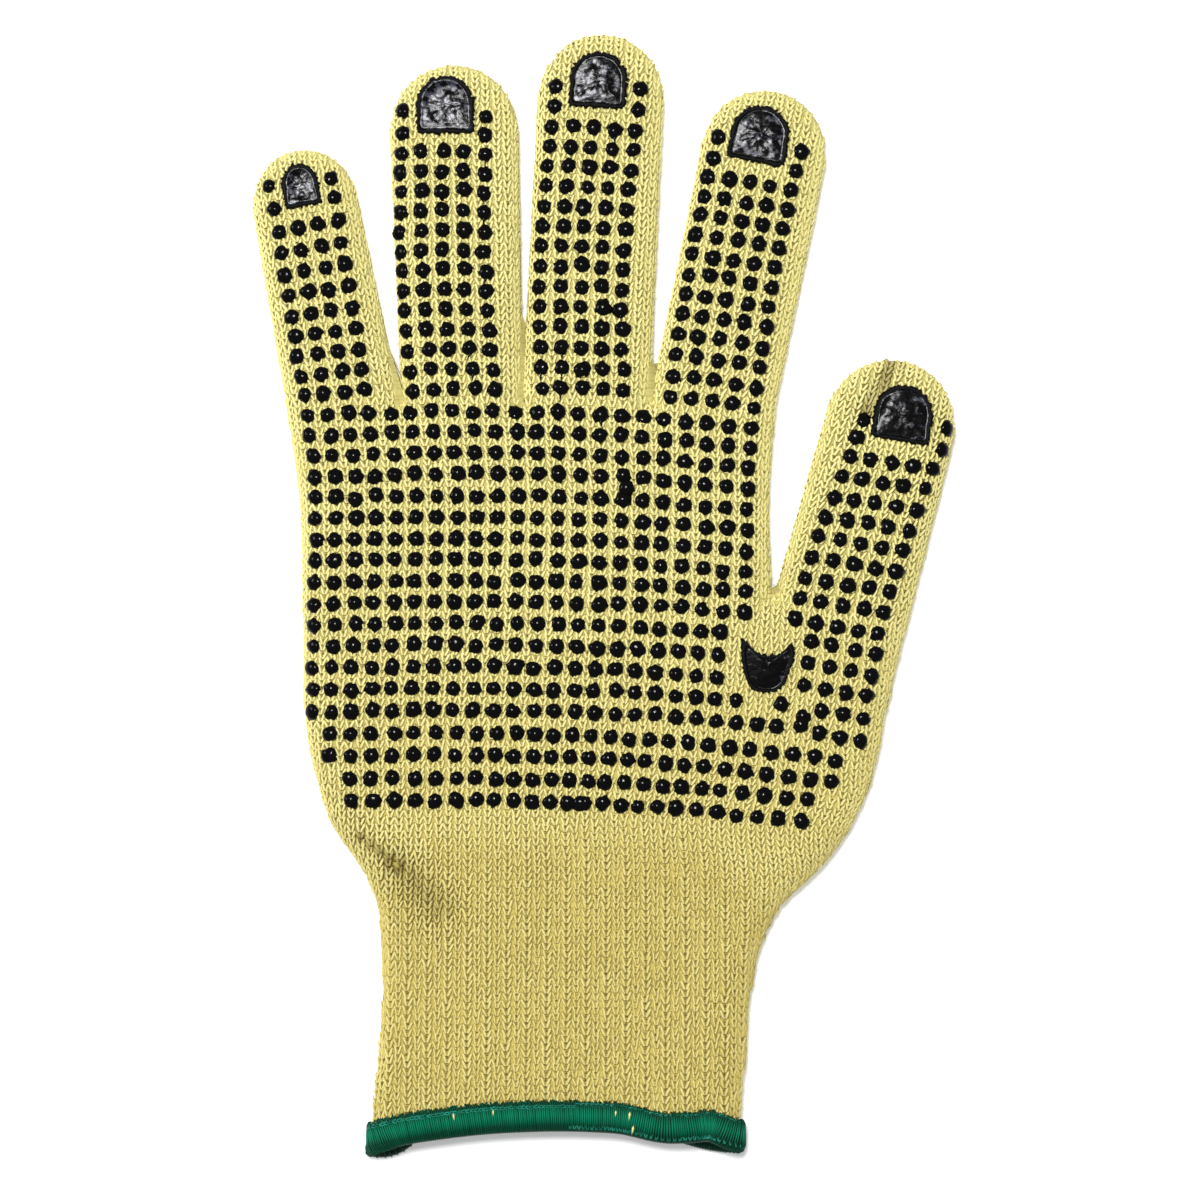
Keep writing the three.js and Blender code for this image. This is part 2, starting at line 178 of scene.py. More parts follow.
# Folds of the palm side: the ends of each one's line, its depth, how far it reaches to its sides, and how
# much painted shade gathers in it.
FOLDS = table("start end depth reach shade", [
    ((-54, -53.9), (-44.8, -61), 1.3, 1.15, 0.75),
    ((-46, -60.5), (-36.5, -70), 1.3, 3.2, 0.5),
    ((58, 39.5), (64.5, 52), 1.1, 1.7, 0.85),
    ((-12, 119), (-9, 123), 0.5, 1.6, 0.3),
])


def rounding(deep):
    return np.sqrt(1 - (1 - np.clip(deep, 0, EDGE_ROUND) / EDGE_ROUND) ** 2)


def folded(spots, fact, wider=0.0):
    """A fact of the folds, such as their depth or shade, as it fades away beside their lines."""
    total = 0
    for fold in FOLDS:
        start, line = np.array(fold["start"], float), np.subtract(fold["end"], fold["start"])
        share = np.clip((spots - start) @ line / (line @ line), 0, 1)
        away = np.linalg.norm(spots - start - share[..., None] * line, axis=-1)
        total = total + fold[fact] * np.exp(-((away / (fold["reach"] + wider)) ** 2))
    return total


def waves(spots):
    x, y = spots[..., 0], spots[..., 1]
    broad = BROAD_WAVE * np.sin(x / 9 + y / 23) * np.sin(y / 13 - x / 31)
    return broad + FINE_WAVE * np.sin(x / 4.3 - y / 11)


def skin(spots, side):
    """Height at spots of the palm side, UP, or the back, DOWN, with the stitches."""
    y = spots[..., 1]
    thick, low, full = THICKNESS(y), LIFT(y), rounding(depth(spots))
    seam = low + SEAM * thick
    if side == DOWN:
        return np.maximum(low, seam - PRESS * SEAM * thick * full)
    return seam + full * ((1 - SEAM) * thick - folded(spots, "depth") + waves(spots))


def lifted(spots, side):
    """Plan spots with their height on the cloth."""
    return np.concatenate([spots, skin(spots, side)[..., None]], -1)


palm_fold_side = np.array([[0.0, 0.0], [-46.0, -59.0], [-66.0, 0.0]])
print("heights over the palm, a fold and a side:", skin(palm_fold_side, UP).round(1))

# %% Directions on the cloth
FACING_REACH = 0.15  # the cloth's slope is measured this far to all sides
TINY = 1e-6


def unit(vectors):
    return vectors / np.maximum(np.linalg.norm(vectors, axis=-1, keepdims=True), TINY)


def facing(spots, side):
    """Unit normals of the glove's surface."""
    slopes = [(skin(spots + step, side) - skin(spots - step, side)) / (2 * FACING_REACH)
              for step in FACING_REACH * np.eye(2)]
    return unit(side * np.stack([-slopes[0], -slopes[1], np.ones_like(slopes[0])], -1))


def ways_on(spots, side, along):
    """Unit ways across, along and out of the cloth. The given way along is laid flat on it."""
    normal = facing(spots, side)
    along = unit(along - (along * normal).sum(-1, keepdims=True) * normal)
    return np.cross(along, normal), along, normal


print("normals over the palm, a fold and a side:", facing(palm_fold_side, UP).round(1).tolist())

# %% [markdown]
# ## Writing shader maths as Python
# A shader is a graph of small sums. Drawn by hand, "one minus the mask, times the shade" takes three nodes.
# One small class wraps a node's output and teaches Python's own operators to add those nodes, so a material
# reads like a formula. Every other node comes from one method of the tree's own helper.

# %% Helpers for node trees
class Signal:
    """The output of a node, which can be used in a sum."""

    def __init__(self, nodes, socket):
        self.nodes, self.socket = nodes, socket

    def math(self, operation, *others):
        return self.nodes.add("ShaderNodeMath", {"operation": operation}, dict(enumerate([self, *others])))

    def __add__(self, other):
        return self.math("ADD", other)

    def __sub__(self, other):
        return self.math("SUBTRACT", other)

    def __mul__(self, other):
        return self.math("MULTIPLY", other)

    def __pow__(self, other):
        return self.math("POWER", other)

    def __rsub__(self, other):
        return (self * -1.0) + other


class Nodes:
    """A node tree that is built by calls."""

    def __init__(self, tree):
        self.tree = tree

    def add(self, kind, settings=None, sockets=None, output=0):
        """One output of a new node, made with its type, its settings, and values or links of its sockets."""
        made = self.tree.nodes.new(kind)
        for name, value in (settings or {}).items():
            setattr(made, name, value)
        for key, value in (sockets or {}).items():
            self.join(value, made.inputs[key])
        return Signal(self, made.outputs[output])

    def join(self, value, socket):
        if isinstance(value, Signal):
            self.tree.links.new(value.socket, socket)
        else:
            socket.default_value = value

    def attribute(self, name):
        return self.add("ShaderNodeAttribute", {"attribute_name": name}, None, "Fac")

    def place(self):
        return self.add("ShaderNodeTexCoord", output="Object")

    def speckle(self, scale, detail=2.0):
        """Noise over the object's own coordinates, from 0 to 1."""
        sockets = {"Vector": self.place(), "Scale": scale, "Detail": detail}
        return self.add("ShaderNodeTexNoise", None, sockets, "Fac")

    def kept(self, value):
        """A value held between 0 and 1."""
        return self.add("ShaderNodeClamp", None, {0: value})

    def mix(self, share, first, second):
        """Two colours mixed by a share."""
        return self.add("ShaderNodeMix", {"data_type": "RGBA"}, {"Factor": share, 6: first, 7: second}, 2)

    def bump(self, height, distance, strength=1.0):
        sockets = {"Height": height, "Distance": distance, "Strength": strength}
        return self.add("ShaderNodeBump", None, sockets, "Normal")


class Finish(Nodes):
    """The nodes of a new material."""

    def __init__(self, name):
        self.material = bpy.data.materials.new(name)
        self.material.use_nodes = True
        super().__init__(self.material.node_tree)

    def done(self, **sockets):
        """Sets or links the shader's sockets, with _ for a space in a name, and gives the material."""
        for key, value in sockets.items():
            self.join(value, self.tree.nodes["Principled BSDF"].inputs[key.replace("_", " ")])
        return self.material


# %% [markdown]
# ## The yarn
# Aramid yarn is straw yellow and dull, with a faint sheen where fibres catch the light. Its own roundness
# and the shade between the stitches do most of the work. The colour adds painted shade down strand sides,
# in the gaps and in the folds, a painted highlight on the crests, a shift from stitch to stitch and a deeper
# tone in the elastic cuff. Those four facts, crest, fold shade, tint and cuff, are stored on the mesh.

# %% Yarn, elastic and lining finishes
STRAW = (0.76, 0.70, 0.26, 1)
# a paler tint, and the painted highlight on the crests
STRAW_PALE_AND_LIT = (0.95, 0.91, 0.46, 1)
# painted shade down the sides of the strands
STRAW_SIDE_SHADE = (0.58, 0.50, 0.16, 1)
# the deepest painted shade, down in the gaps and near the outline
STRAW_SHADE = (0.16, 0.115, 0.018, 1)
OCHRE = (0.53, 0.42, 0.095, 1)
# painted shade in the folds
STRAW_FOLD_SHADE = (0.21, 0.155, 0.03, 1)
# the lining: the yarn darkened by painted shade, in two tones that vary at random
LINING, LINING_LIGHT = (0.48, 0.42, 0.13, 1), (0.68, 0.62, 0.23, 1)
# The palm warms towards the cuff's colour by this share, from this y down, in this length.
WARM, WARM_FROM, WARM_REACH = 0.5, 10, 70


def yarn_finish():
    nodes = Finish("aramid_yarn")
    crest, tint, cuff, crease = (nodes.attribute(name) for name in ("crest", "tint", "cuff", "crease"))
    gap = 1 - crest
    plain = nodes.mix(cuff, STRAW, OCHRE)
    # Painted highlight on the crests, less so in the cuff, and a paler tint that differs at random from
    # stitch to stitch, with broad and fine patches that are duller.
    lit = nodes.mix(tint * 0.18 + (crest ** 3.5) * (0.75 - cuff * 0.25), plain, STRAW_PALE_AND_LIT)
    worn = nodes.mix(nodes.speckle(45.0) * 0.25 + nodes.speckle(260.0) * 0.2, lit, OCHRE)
    # Painted shade down the sides of a strand, towards ochre in the cuff, and in the folds, and the deepest
    # painted shade down in the gaps.
    side = nodes.mix((gap ** 2.0) * 0.9, worn, nodes.mix(cuff, STRAW_SIDE_SHADE, OCHRE))
    # Painted shade in the folds.
    creased = nodes.mix(crease * 0.8, side, STRAW_FOLD_SHADE)
    # The deepest painted shade down in the gaps between strands.
    colour = nodes.mix((gap ** 5.0) * (tint * 0.55 + 0.42), creased, STRAW_SHADE)
    fibres = nodes.bump(nodes.speckle(2600.0, 3.0), 0.00012, 0.5)
    return nodes.done(Base_Color=colour, Roughness=0.88, Normal=fibres, Sheen_Weight=0.04,
                      Specular_IOR_Level=0.2)


def lining_finish():
    """The cloth under and behind the stitches: the same yarn, darkened by painted shade."""
    nodes = Finish("aramid_lining")
    y = nodes.add("ShaderNodeSeparateXYZ", None, {0: nodes.place()}, "Y")
    warm = nodes.kept((WARM_FROM * MM - y) * (1 / (WARM_REACH * MM)))
    plain = nodes.mix(nodes.speckle(900.0), LINING, LINING_LIGHT)
    # Painted shade where the lining nears the outline and between fingers.
    colour = nodes.mix(nodes.attribute("shade") * 0.3, nodes.mix(warm * 0.75, plain, OCHRE), STRAW_SHADE)
    rows = {"Vector": nodes.place(), "Scale": 185.0, "Distortion": 1.5, "Detail": 1.0}
    courses = nodes.add("ShaderNodeTexWave", {"bands_direction": "Y"}, rows, "Fac")
    return nodes.done(Base_Color=colour, Roughness=0.95, Normal=nodes.bump(courses, 0.0003))


aramid_yarn, aramid_lining = yarn_finish(), lining_finish()
print("finishes:", aramid_yarn.name, aramid_lining.name)

# %% [markdown]
# ## The knitted shell
# Under the stitches lies the glove's hollow body, open at the wrist. It could be modelled again, but the
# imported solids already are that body, in the seven sections that a glove machine knits one after the other.
# So their skins are copied into one piece. The faces in the slits between them are pushed together until
# they meet, and every corner is drawn in until it leaves the stitches their room. What still spans the gap
# between two fingers is taken away.

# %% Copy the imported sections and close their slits
KNIT_NODES = ["knit_palm", "little_finger_stall", "ring_finger_stall", "middle_finger_stall",
              "index_finger_stall", "thumb_stall", "knit_cuff"]
DOUBLED = 0.002  # corners nearer than this are one
LEVEL = 0.02  # a face that looks further up or down than this isn't in a slit, whose faces stand upright
SLIT = 0.5  # two upright faces that look at each other across less than this, in millimetres, are a slit's
OVERLAP = 0.01  # how far a slit's face is pushed beyond the middle of the slit


def in_scene(name, data):
    """A new object in the scene."""
    made = bpy.data.objects.new(name, data)
    bpy.context.scene.collection.objects.link(made)
    return made


def joined_copy(nodes):
    """One mesh from copies of CAD nodes, with each node's doubled corners merged."""
    body = bmesh.new()
    for node in nodes:
        body.from_mesh(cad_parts[node].data)
    bmesh.ops.remove_doubles(body, verts=body.verts, dist=DOUBLED * MM)
    return body


def close_slits(body):
    body.normal_update()
    tree = BVHTree.FromBMesh(body)
    pushes = {}
    for face in body.faces:
        if abs(face.normal.z) > LEVEL:
            continue
        off = OVERLAP * MM  # the ray starts a little off the face, or it would hit the face itself
        distance = tree.ray_cast(face.calc_center_median() + face.normal * off, face.normal, SLIT * MM)[3]
        if distance is not None:
            for vertex in face.verts:
                pushes[vertex] = face.normal * ((distance + off) / 2 + off)
    for vertex, push in pushes.items():
        vertex.co += push
    return len(pushes)


# %% Make the shell
LONG_EDGE = 3.0  # an edge longer than this is divided
EDGE_ROOM = 0.7  # how far inside the outline every corner stays
SHADE_REACH = 1.2  # how far in from the outline, and so between two fingers, painted shade lies on the lining
FOLD_WIDER = 2.0  # its few corners make room for a fold in a wider stretch than the fold reaches
DRAW_ROUNDS, DRAW_STEP = 2, 0.1  # corners are drawn in twice, along a slope that is measured this far around


def drawn_in(corners):
    """Corners moved inwards, in plan and in height, until they leave the stitches their room."""
    plan, ways_out = corners[:, :2], DRAW_STEP * np.eye(2)
    for _ in range(DRAW_ROUNDS):
        slope = unit(np.stack([depth(plan + way) - depth(plan - way) for way in ways_out], -1))
        plan = plan + slope * np.maximum(EDGE_ROOM - depth(plan), 0)[:, None]
    highest = skin(plan, UP) - YARN_ROOM - folded(plan, "depth", FOLD_WIDER)
    lowest = np.minimum(skin(plan, DOWN) + YARN_ROOM, highest)
    return np.column_stack([plan, np.clip(corners[:, 2], lowest, highest)])


def knit_shell():
    body = joined_copy(KNIT_NODES)
    print("corners pushed across the slits:", close_slits(body))
    long_edges = [edge for edge in body.edges if edge.calc_length() > LONG_EDGE * MM]
    bmesh.ops.subdivide_edges(body, edges=long_edges, cuts=2, use_grid_fill=True)
    packed = np.array([vertex.co[:] for vertex in body.verts]) / MM
    # Painted shade on the lining, full at the outline and none from SHADE_REACH in.
    shades = np.clip(1 - depth(packed[:, :2]) / SHADE_REACH, 0, 1)
    layer = body.verts.layers.float.new("shade")
    for vertex, corner, shade in zip(body.verts, drawn_in(packed), shades):
        vertex.co = corner * MM
        vertex[layer] = shade
    bmesh.ops.triangulate(body, faces=body.faces)
    outside = depth(np.array([face.calc_center_median()[:2] for face in body.faces]) / MM) < 0
    across = [face for face, away in zip(body.faces, outside) if away]
    print("faces across the gaps between fingers:", len(across), "of", len(body.faces))
    bmesh.ops.delete(body, geom=across, context="FACES")
    mesh = bpy.data.meshes.new("knit_shell")
    body.to_mesh(mesh)
    body.free()
    mesh.materials.append(aramid_lining)
    mesh.shade_flat()
    return in_scene("knit_shell", mesh)


shell = knit_shell()
print("shell faces:", len(shell.data.polygons))

# %% [markdown]
# ## Where the stitches lie
# Knitting is a grid. Columns of stitches, called wales, run up each finger, and rows, called courses, run
# across. On the flat of the glove the wales are evenly spaced, and every second one carries a row of dots.
# Over the round edges the same spacing runs on along the cloth itself, not along the drawing, and the
# outermost wales pass round to the back.

# %% Even places along the cloth across a strip
COURSE = 1.55  # height of a stitch
EDGE_STEPS = 60
LEFT_SIDE, RIGHT_SIDE = 0, 1
SMALLEST_GAP = 0.4  # a gap between two wales that is wider than this share of a wale takes one more
EDGE_INSET = 0.05  # a wale on the very edge lies this far inside the outline


def arc_of(line):
    """Length along a line from its start to each of its points."""
    return np.concatenate([[0], np.cumsum(np.linalg.norm(np.diff(line, axis=0), axis=1))])


def edge_arc(side):
    """Plan depth and length along the cloth, from the edge inwards."""
    deep = np.linspace(0, EDGE_ROUND, EDGE_STEPS)
    thick = float(THICKNESS(0))
    rise = (1 - SEAM) * thick * rounding(deep)
    if side == DOWN:
        rise = np.minimum(SEAM * thick, PRESS * SEAM * thick * rounding(deep))
    return deep, arc_of(np.stack([deep, rise], -1))


EDGE_ARC = {side: edge_arc(side) for side in (UP, DOWN)}
SPARE = {side: arc[-1] - EDGE_ROUND for side, (_, arc) in EDGE_ARC.items()}  # cloth that goes round each edge


def round_edges(flat, width, side):
    """Plan distances from the left edge for even ones along the cloth, and which of them the cloth has."""
    deep, arc = EDGE_ARC[side]
    from_left, from_right = flat + SPARE[side], width + SPARE[side] - flat
    on_right = np.where(from_right < arc[-1], width - np.interp(from_right, arc, deep), flat)
    spots = np.where(from_left < arc[-1], np.interp(from_left, arc, deep), on_right)
    return spots, (from_left > 0) & (from_right > 0)


def edge_gaps(flat, width, wale, side):
    """Wales that fit between the outermost ones of both sides: each one's edge, plan distance and width."""
    gaps = []
    for edge, near in ((LEFT_SIDE, flat), (RIGHT_SIDE, width - flat)):
        reach = [min(v for v in near + SPARE[s] if v > 0) for s in (UP, DOWN)]
        free, place = sum(reach) - wale, (reach[0] - reach[1]) / 2
        if free > SMALLEST_GAP * wale and (place > 0) == (side == UP):
            deep, arc = EDGE_ARC[side]
            gaps.append((edge, max(float(np.interp(abs(place), arc, deep)), EDGE_INSET), min(free, wale)))
    return gaps


print("cloth that goes round each edge, in mm:", {side: round(spare, 1) for side, spare in SPARE.items()})

# %% [markdown]
# ## Rows of stitches
# The courses of palm and cuff are nearly level on the left, and fall away towards the thumb. Near the mouth
# they straighten, but the elastic lets both sides hang lower than the middle. A finger's courses start at
# the palm's top row, and its wales run parallel to its middle line and simply turn over the round tip.

# %% The grid of palm and cuff
HANG_START = -66.0  # y below which courses begin to hang
# How much lower than its middle the mouth hangs, from its left side at -1 to its right side at 1.
HANG_FRONT = curve_through([
    (-1, 4.4), (-0.8, 2.8), (-0.6, 1.6), (-0.4, 0.7), (-0.2, 0.2), (0, 0), (0.2, 0.2), (0.4, 0.9),
    (0.5, 1.9), (0.6, 2.7), (0.7, 2.6), (0.87, 2.4), (0.95, 3.6), (1, 4.3)])
HANG_BACK = curve_through([
    (-1, 7.0), (-0.94, 7.1), (-0.9, 6.3), (-0.85, 3.0), (-0.79, 1.7), (-0.5, 0.6), (0, 0), (0.4, 0.8),
    (0.55, 2.2), (0.7, 3.8), (0.84, 5.4), (0.94, 6.0), (1, 6.2)])
SAG_TOP = -28.0  # x where a course is highest
SAG = dict(left=0.0005, right=0.0009)  # how fast it falls to both sides
sagging = curve_through([(60, 1), (-46, 1), (-78, 0), (-120, 0)])  # how much of that is left at a y
# x of the leftmost dotted wale, and the width of a wale.
DOTTED = curve_through([
    (45, -66.1), (40, -65.7), (26, -64), (-2, -64.2), (-16, -64.8), (-30, -65.3), (-45, -64.7),
    (-60, -65.2), (-120, -65.7)])
WALE = curve_through([
    (45, 2.34), (26, 2.28), (-2, 2.267), (-25, 2.243), (-40, 2.21), (-45, 2.17), (-60, 2.19), (-120, 2.2)])
print("width of a wale at the knuckles and at the mouth:", WALE(KNUCKLES).round(2), WALE(MOUTH).round(2))

# %% Where a course of palm and cuff lies

def hang(y, x, height):
    """How far a course hangs below its line. height runs from 0 on the back to 1 on the palm side."""
    grown = np.clip((HANG_START - y) / (HANG_START - MOUTH), 0, 1)
    middle, half = (left_edge(y) + right_edge(y)) / 2, (right_edge(y) - left_edge(y)) / 2
    across = np.clip((x - middle) / half, -1, 1)
    drop = HANG_BACK(across) + (HANG_FRONT(across) - HANG_BACK(across)) * height
    return grown**2 * (3 - 2 * grown) * drop


def course_line(start, x):
    """y of a course at x. start is its y at its highest place."""
    fall = np.where(x > SAG_TOP, SAG["right"], SAG["left"]) * (x - SAG_TOP) ** 2
    return start - fall * sagging(start)


def share_of_thickness(y, height):
    """Where a height lies in the glove, from 0 at its bottom to 1 on top."""
    return np.clip((height - LIFT(y)) / THICKNESS(y), 0, 1)


def on_course(start, x, side):
    """Plan spots at x of a course, where the cloth hangs."""
    spots = np.stack([x, course_line(start, x)], -1)
    spots[:, 1] -= hang(spots[:, 1], x, share_of_thickness(spots[:, 1], skin(spots, side)))
    return spots


# %% The cuff's ribs
# Where they begin: their highest y, how much lower they begin at the sides, the middle of the wrist, how far
# from it that fall starts, how long it is, and the length over which a rib forms.
RIBS = dict(top=-50, lower=15, middle=-8, flat=27, fall=20, forming=9)
RIB_WIDER = 0.13  # how much wider a raised wale of the cuff is, and how much narrower a sunken one
RIB_SINK = 0.07  # how much deeper a sunken wale lies


def cuff_share(spots):
    """How far the cuff's ribs have formed: they begin level in the middle and lower at the sides."""
    aside = np.abs(spots[..., 0] - RIBS["middle"]) - RIBS["flat"]
    start = RIBS["top"] - RIBS["lower"] * np.clip(aside / RIBS["fall"], 0, 1)
    return np.clip((start - spots[..., 1]) / RIBS["forming"], 0, 1)


down_the_wrist = np.array([[0.0, -50.0], [0.0, -54.0], [0.0, -60.0]])
print("how far the ribs have formed down the wrist:", cuff_share(down_the_wrist).round(2))

# %% Stitches with their directions and sizes
EDGE_SINK, EDGE_SINK_REACH = 0.2, 2.5  # the edge's stitches lie deeper, so that the outline stays smooth


class Stitches:
    """Where each stitch lies, its directions and its size, gathered piece by piece."""

    def __init__(self):
        self.parts = []

    def take(self, spots, along, side, width, height=COURSE, sink=0.0, cuff=0.0):
        """Stitches at plan spots. along points up the wale, and sink lowers a stitch into the cloth."""
        across, along, normal = ways_on(spots, side, along)
        rim = EDGE_SINK * np.clip(1 - depth(spots) / EDGE_SINK_REACH, 0, 1)
        place = lifted(spots, side) - normal * (YARN_ROOM + sink + rim)[:, None]
        facts = [np.broadcast_to(fact, len(spots)) for fact in (width, height, cuff)]
        self.parts.append((place, across, along, normal, *facts))

    def joined(self):
        return [np.concatenate(column) for column in zip(*self.parts)]

    def __len__(self):
        return sum(len(part[0]) for part in self.parts)


# %% Courses of a strip of palm or cuff
WALES = np.arange(-4, 64)  # from beyond the left edge to beyond the right one. The leftmost dotted one is 0
INSIDE = 0.02  # a stitch starts at least this far inside the outline
END_ROUNDS = 3  # how often a course's right end is looked for, each time nearer to it


def strip(first, last, right, side, stitches):
    """Courses from one height down to just above another, between the left edge and a right edge."""
    grid, good, filled = [], [], []
    for start in np.linspace(first, last, round((first - last) / COURSE), endpoint=False):
        left, end = left_edge(course_line(start, left_edge(start))), right(start)
        for _ in range(END_ROUNDS):
            end = right(course_line(start, end))
        flat = DOTTED(start) + WALES * WALE(start) - left
        offsets, on_cloth = round_edges(flat, end - left, side)
        for edge, inset, wide in edge_gaps(flat, end - left, WALE(start), side):
            filled.append((left + inset if edge == LEFT_SIDE else end - inset, start, wide))
        grid.append(on_course(start, left + offsets, side))
        good.append(on_cloth)
    grid = np.array(grid)
    good = np.array(good) & (depth(grid) > INSIDE)
    way = -np.gradient(lifted(grid, side), axis=0)
    ribbed = cuff_share(grid)
    raised = np.broadcast_to(WALES % 2 == 0, ribbed.shape)
    width = WALE(grid[..., 1]) * (1 + np.where(raised, RIB_WIDER, -RIB_WIDER) * ribbed)
    stitches.take(grid[good], way[good], side, width[good], np.linalg.norm(way, axis=-1)[good],
                  np.where(raised, 0, RIB_SINK * ribbed)[good], ribbed[good])
    x, start, wide = np.array(filled).reshape(-1, 3).T
    spots = on_course(start, x, side)
    inside = depth(spots) > INSIDE
    upwards = np.broadcast_to([0.0, 1.0, 0.0], (inside.sum(), 3))
    stitches.take(spots[inside], upwards, side, wide[inside], cuff=cuff_share(spots[inside]))


# %% Stitches of palm and cuff
TOP_COURSE = KNUCKLES - 0.4  # the palm's highest course
THUMB_COURSE = CROTCH + 2.2  # the highest course that runs on across the thumb
PALM_END = -25.0
UNDER_HEM = 1.5  # how far the knit runs on beyond the mouth's line, under the hem
stitches_of = {(part, side): Stitches() for part in ("finger", "palm", "cuff") for side in (UP, DOWN)}
for side in (UP, DOWN):
    strip(TOP_COURSE, THUMB_COURSE, palm_edge, side, stitches_of["palm", side])
    strip(THUMB_COURSE, PALM_END, right_edge, side, stitches_of["palm", side])
    strip(PALM_END, MOUTH - UNDER_HEM, right_edge, side, stitches_of["cuff", side])
print("stitches of a palm and of a cuff:", len(stitches_of["palm", UP]), len(stitches_of["cuff", UP]))

# %% Stitches of the fingers
FINGER_BELOW = 7.0  # how far below its root a finger's wales are followed
FINGER_WALES = np.arange(-12, 24)  # from beyond its left edge to beyond its right one
PATH_STEP = 0.05
SHORTEST_PATH = 40  # a wale with fewer steps than this carries no stitch
TIP_SINK = 0.26  # how much deeper the last stitches of a wale lie where it ends at the outline of the tip
LAST_STITCH = 0.6  # height of the last one of all, in courses


def finger_strip(finger, side, foot, stitches):
    """Wales of a finger from the course foot upwards."""
    root, along, across = ways(finger)
    half = finger["tip"] / 2
    flat = finger["dotted"] + FINGER_WALES * finger["wale"] + half
    offsets, on_cloth = round_edges(flat, 2 * half, side)
    wales = [(offset / half - 1, finger["wale"]) for offset in offsets[on_cloth]]
    for edge, inset, wide in edge_gaps(flat, 2 * half, finger["wale"], side):
        wales.append((inset / half - 1 if edge == LEFT_SIDE else 1 - inset / half, wide))
    fine = np.arange(-FINGER_BELOW, finger["length"], PATH_STEP)
    for offset, wide in wales:
        path = root + fine[:, None] * along + (offset * half_width(finger, fine))[:, None] * across
        above_foot = path[:, 1] > course_line(foot, path[:, 0]) + COURSE
        path = path[(finger_depth(path, finger) > INSIDE) & above_foot]
        if len(path) < SHORTEST_PATH:
            continue
        line = lifted(path, side)
        arc = arc_of(line)
        wanted = np.arange(0, arc[-1], COURSE)
        spots = np.stack([np.interp(wanted, arc, path[:, k]) for k in (0, 1)], -1)
        way = np.stack([np.interp(wanted, arc, np.gradient(line[:, k], arc)) for k in (0, 1, 2)], -1)
        over_tip = (spots - root) @ along > straight(finger)
        sink = TIP_SINK * over_tip * np.clip(1 - finger_depth(spots, finger) / EDGE_SINK_REACH, 0, 1)
        heights = np.full(len(spots), COURSE)
        heights[-1] *= LAST_STITCH
        stitches.take(spots, way, side, wide, heights, sink)


for side in (UP, DOWN):
    for finger in FINGERS:
        foot = THUMB_COURSE if finger["name"] == "thumb" else TOP_COURSE
        finger_strip(finger, side, foot, stitches_of["finger", side])
print("stitches of the fingers:", [len(stitches_of["finger", side]) for side in (UP, DOWN)])

# %% [markdown]
# ## One stitch
# Seen from its smooth side, a stitch is a V: two plump strands that come up from under the stitch below,
# lean apart and dive under the next one. Only the top of each strand shows, so a closed four-sided spindle
# with few faces is enough. Thousands of them make the cloth.

# %% Rings, strands and shapes
UPRIGHT = (0, 0, 1)
HOLE_SHADE_CREST = -0.1  # the crest of the painted shade down the hole between strands, lower than that of any strand


def bridge(body, rings, closed=False):
    """Faces from each ring of corners to the next one. A ring of one corner is a pole."""
    for lower, upper in zip(rings, rings[1:] + rings[:closed]):
        for k in range(max(len(lower), len(upper))):
            four = ((lower, k), (lower, k + 1), (upper, k + 1), (upper, k))
            body.faces.new(list(dict.fromkeys(ring[n % len(ring)] for ring, n in four)))


def add_strand(body, middles, thicks, wide, tall, sides, outs=None, dark=False):
    """Adds a closed strand. Its oval sections reach wide along x and tall along outs, or along z."""
    crest = body.verts.layers.float["crest"]
    rings = []
    for middle, out, thick in zip(middles, outs or [UPRIGHT] * len(middles), thicks):
        ring = []
        for turn in np.linspace(0, 2 * math.pi, sides, endpoint=False)[: sides if thick else 1]:
            offset = np.array([math.sin(turn) * wide, 0, 0]) + math.cos(turn) * tall * np.array(out)
            ring.append(body.verts.new(middle + thick * offset))
            ring[-1][crest] = HOLE_SHADE_CREST if dark else math.cos(turn) * tall * thick + middle[2] * (out == UPRIGHT)
        rings.append(ring)
    bridge(body, rings)


def new_body():
    body = bmesh.new()
    body.verts.layers.float.new("crest")
    return body


def shape_of(name, body):
    """An object with the mesh of a body, its normals outwards and its crests from 0 to 1."""
    bmesh.ops.recalc_face_normals(body, faces=body.faces)
    mesh = bpy.data.meshes.new(name)
    body.to_mesh(mesh)
    body.free()
    crests = np.array([entry.value for entry in mesh.attributes["crest"].data])
    mesh.attributes["crest"].data.foreach_set("value", (crests - crests.min()) / max(np.ptp(crests), TINY))
    mesh.shade_smooth()
    return in_scene(name, mesh)


# %% The two strands of a stitch
# Along a strand: the share of its length, how thick it is there and how high it stands.
STRAND = table("share thick rise", [
    (0.0, 0.0, 0.1), (0.14, 1.0, 0.26), (0.72, 0.95, 0.22), (1.0, 0.0, -0.05)])
STRAND_WIDE = 0.165  # half width of a strand, in wales
STRAND_TALL = 0.26  # half height, in millimetres
STRAND_SIDES = 4
STRAND_FOOT, STRAND_HEAD = (0.06, -0.45), (0.45, 1.15)  # where a strand starts and ends, in wales and courses
# The painted shade down the hole between the two strands, a small dark spindle: y in courses, and height.
HOLE_SHADE = [(0.2, 0.0), (0.5, 0.16), (0.8, 0.0)]
HOLE_SHADE_WIDE, HOLE_SHADE_TALL = 0.11, 0.08


